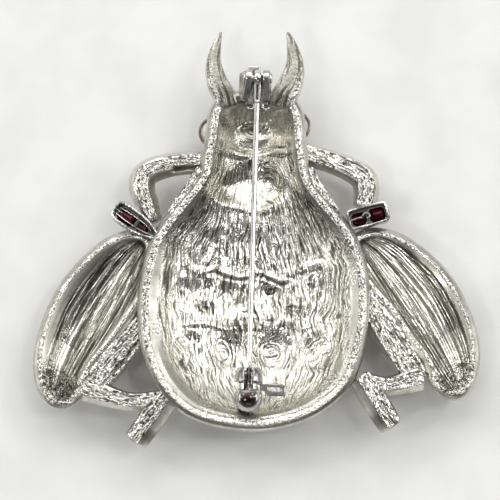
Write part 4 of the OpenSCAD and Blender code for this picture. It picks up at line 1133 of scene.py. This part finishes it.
collar_tube = slit("collar_tube", MOUTH_BORE - COLLAR_GAP, MOUTH_AT + MOUTH_L * 0.3, MOUTH_L * 0.7 + GROOVE_W / 2, 0.05)
collar_disc = slit("collar_disc", 1.5 - 2 * COLLAR_GAP, MOUTH_END + COLLAR_GAP, GROOVE_W - 2 * COLLAR_GAP, 0.08)
lever_y0, lever_y1 = -REAR_AT + COLLAR_GAP, -REAR_AT + GROOVE_W - COLLAR_GAP
tip_r = 0.45
end = joined([round_line(LEVER_L - tip_r, lever_y1 - tip_r, tip_r, 90, 0, 7),
              round_line(LEVER_L - tip_r, lever_y1 - 1.05, tip_r, 0, -90, 7)])
lever_line = joined([[[0.9, lever_y0], [0.9, lever_y1]], end, [[2.2, lever_y1 - 1.5], [2.0, lever_y0]]])
eyelet = np.array([[2.5, -0.42], [2.5, -0.72], [2.9, -0.86], [3.8, -0.86], [4.1, -0.72], [4.1, -0.5], [3.8, -0.42]])
lever = prism("collar_lever", lever_line[::-1], [eyelet + [0, lever_y1]], -0.275, 0.275, at_rivet)
bevel(lever, 0.16)
for piece in (collar_tube, collar_disc, lever):
    add_piece(piece, LEVER_METAL, body="catch_collar", replaces=["catch_collar"])

# ---- floor, light and camera
mat, tree = node_material("pale_floor", Roughness=0.8, Specular_IOR_Level=0.2)
mottle = speckle(tree, place_in(tree), 120.0, 2.0)
wire(tree, Base_Color=ramp(tree, mottle, 0.3, (0.69, 0.69, 0.68), 0.6, (0.755, 0.755, 0.745)))
floor_mesh = bpy.data.meshes.new("floor")
floor_mesh.from_pydata([(-2, -2, 0), (2, -2, 0), (2, 2, 0), (-2, 2, 0)], [], [(0, 1, 2, 3)])
floor_mesh.materials.append(mat)
floor = bpy.data.objects.new("floor", floor_mesh)
bpy.context.scene.collection.objects.link(floor)


def area_light(name, place, size, size_y, power):
    """A soft light that shines at the origin."""
    data = bpy.data.lights.new(name, "AREA")
    data.shape, data.size, data.size_y, data.energy = "RECTANGLE", size, size_y, power
    obj = bpy.data.objects.new(name, data)
    obj.location = place
    obj.rotation_euler = (-Vector(place)).to_track_quat("-Z", "Y").to_euler()
    bpy.context.scene.collection.objects.link(obj)


area_light("key", (-0.15, 0.75, 0.75), 0.8, 0.35, 2.55)
area_light("right", (0.75, 0.12, 0.62), 0.16, 0.55, 1.6)
for k, place in enumerate(((0.55, 0.45, 0.70), (-0.62, 0.40, 0.68), (0.36, 0.08, 0.92), (-0.42, -0.30, 0.86))):
    area_light("glint_%d" % k, place, 0.15, 0.15, 0.95)
area_light("front", (0.05, -0.75, 0.55), 0.6, 0.12, 0.4)
for k, x in enumerate((-0.9, 0.9)):
    area_light("low_%d" % k, (x, 0.05, 0.27), 0.7, 0.22, 0.98)
area_light("left", (-0.80, 0.05, 0.55), 0.12, 0.5, 0.7)

world = bpy.data.worlds.new("studio")
bpy.context.scene.world = world
world.use_nodes = True
tree = world.node_tree


def towards(direction):
    """1 where the sky lies in one direction, and -1 opposite."""
    return add(tree, "VectorMath", operation="DOT_PRODUCT", in_0=sky_place, in_1=direction).outputs["Value"]


sky_place = place_in(tree, "Generated")
sky = add(tree, "ValToRGB", in_Fac=spread(tree, towards((-0.05, 0.68, 0.73)), -1.0, 1.0, 0.0, 1.0))
stops = sky.color_ramp.elements
for k, (where, level) in enumerate(SKY):
    stop = stops[k] if k < 2 else stops.new(where)
    stop.position, stop.color = where, (level, level, level * 0.99, 1)
# a darker place overhead, where the photographer stands
shade = spread(tree, towards((0.0, -0.16, 0.987)), 0.82, 0.95, 1.7, 0.69, "SMOOTHSTEP")
back = tree.nodes["Background"].inputs
tree.links.new(sky.outputs["Color"], back["Color"])
tree.links.new(shade, back["Strength"])

cam_data = bpy.data.cameras.new("camera")
cam = bpy.data.objects.new("camera", cam_data)
bpy.context.scene.collection.objects.link(cam)
elevation, distance = radians(83), 0.4
away = Vector((0, -cos(elevation), sin(elevation)))
cam.location = Vector((-0.00084, -0.0013, 0.005)) + away * distance
cam.rotation_euler = (-away).to_track_quat("-Z", "Y").to_euler()
cam_data.sensor_width, cam_data.lens = 36, 227.52
cam_data.clip_start, cam_data.clip_end = 0.01, 10
bpy.context.scene.camera = cam
bpy.context.scene.view_settings.view_transform = "Standard"
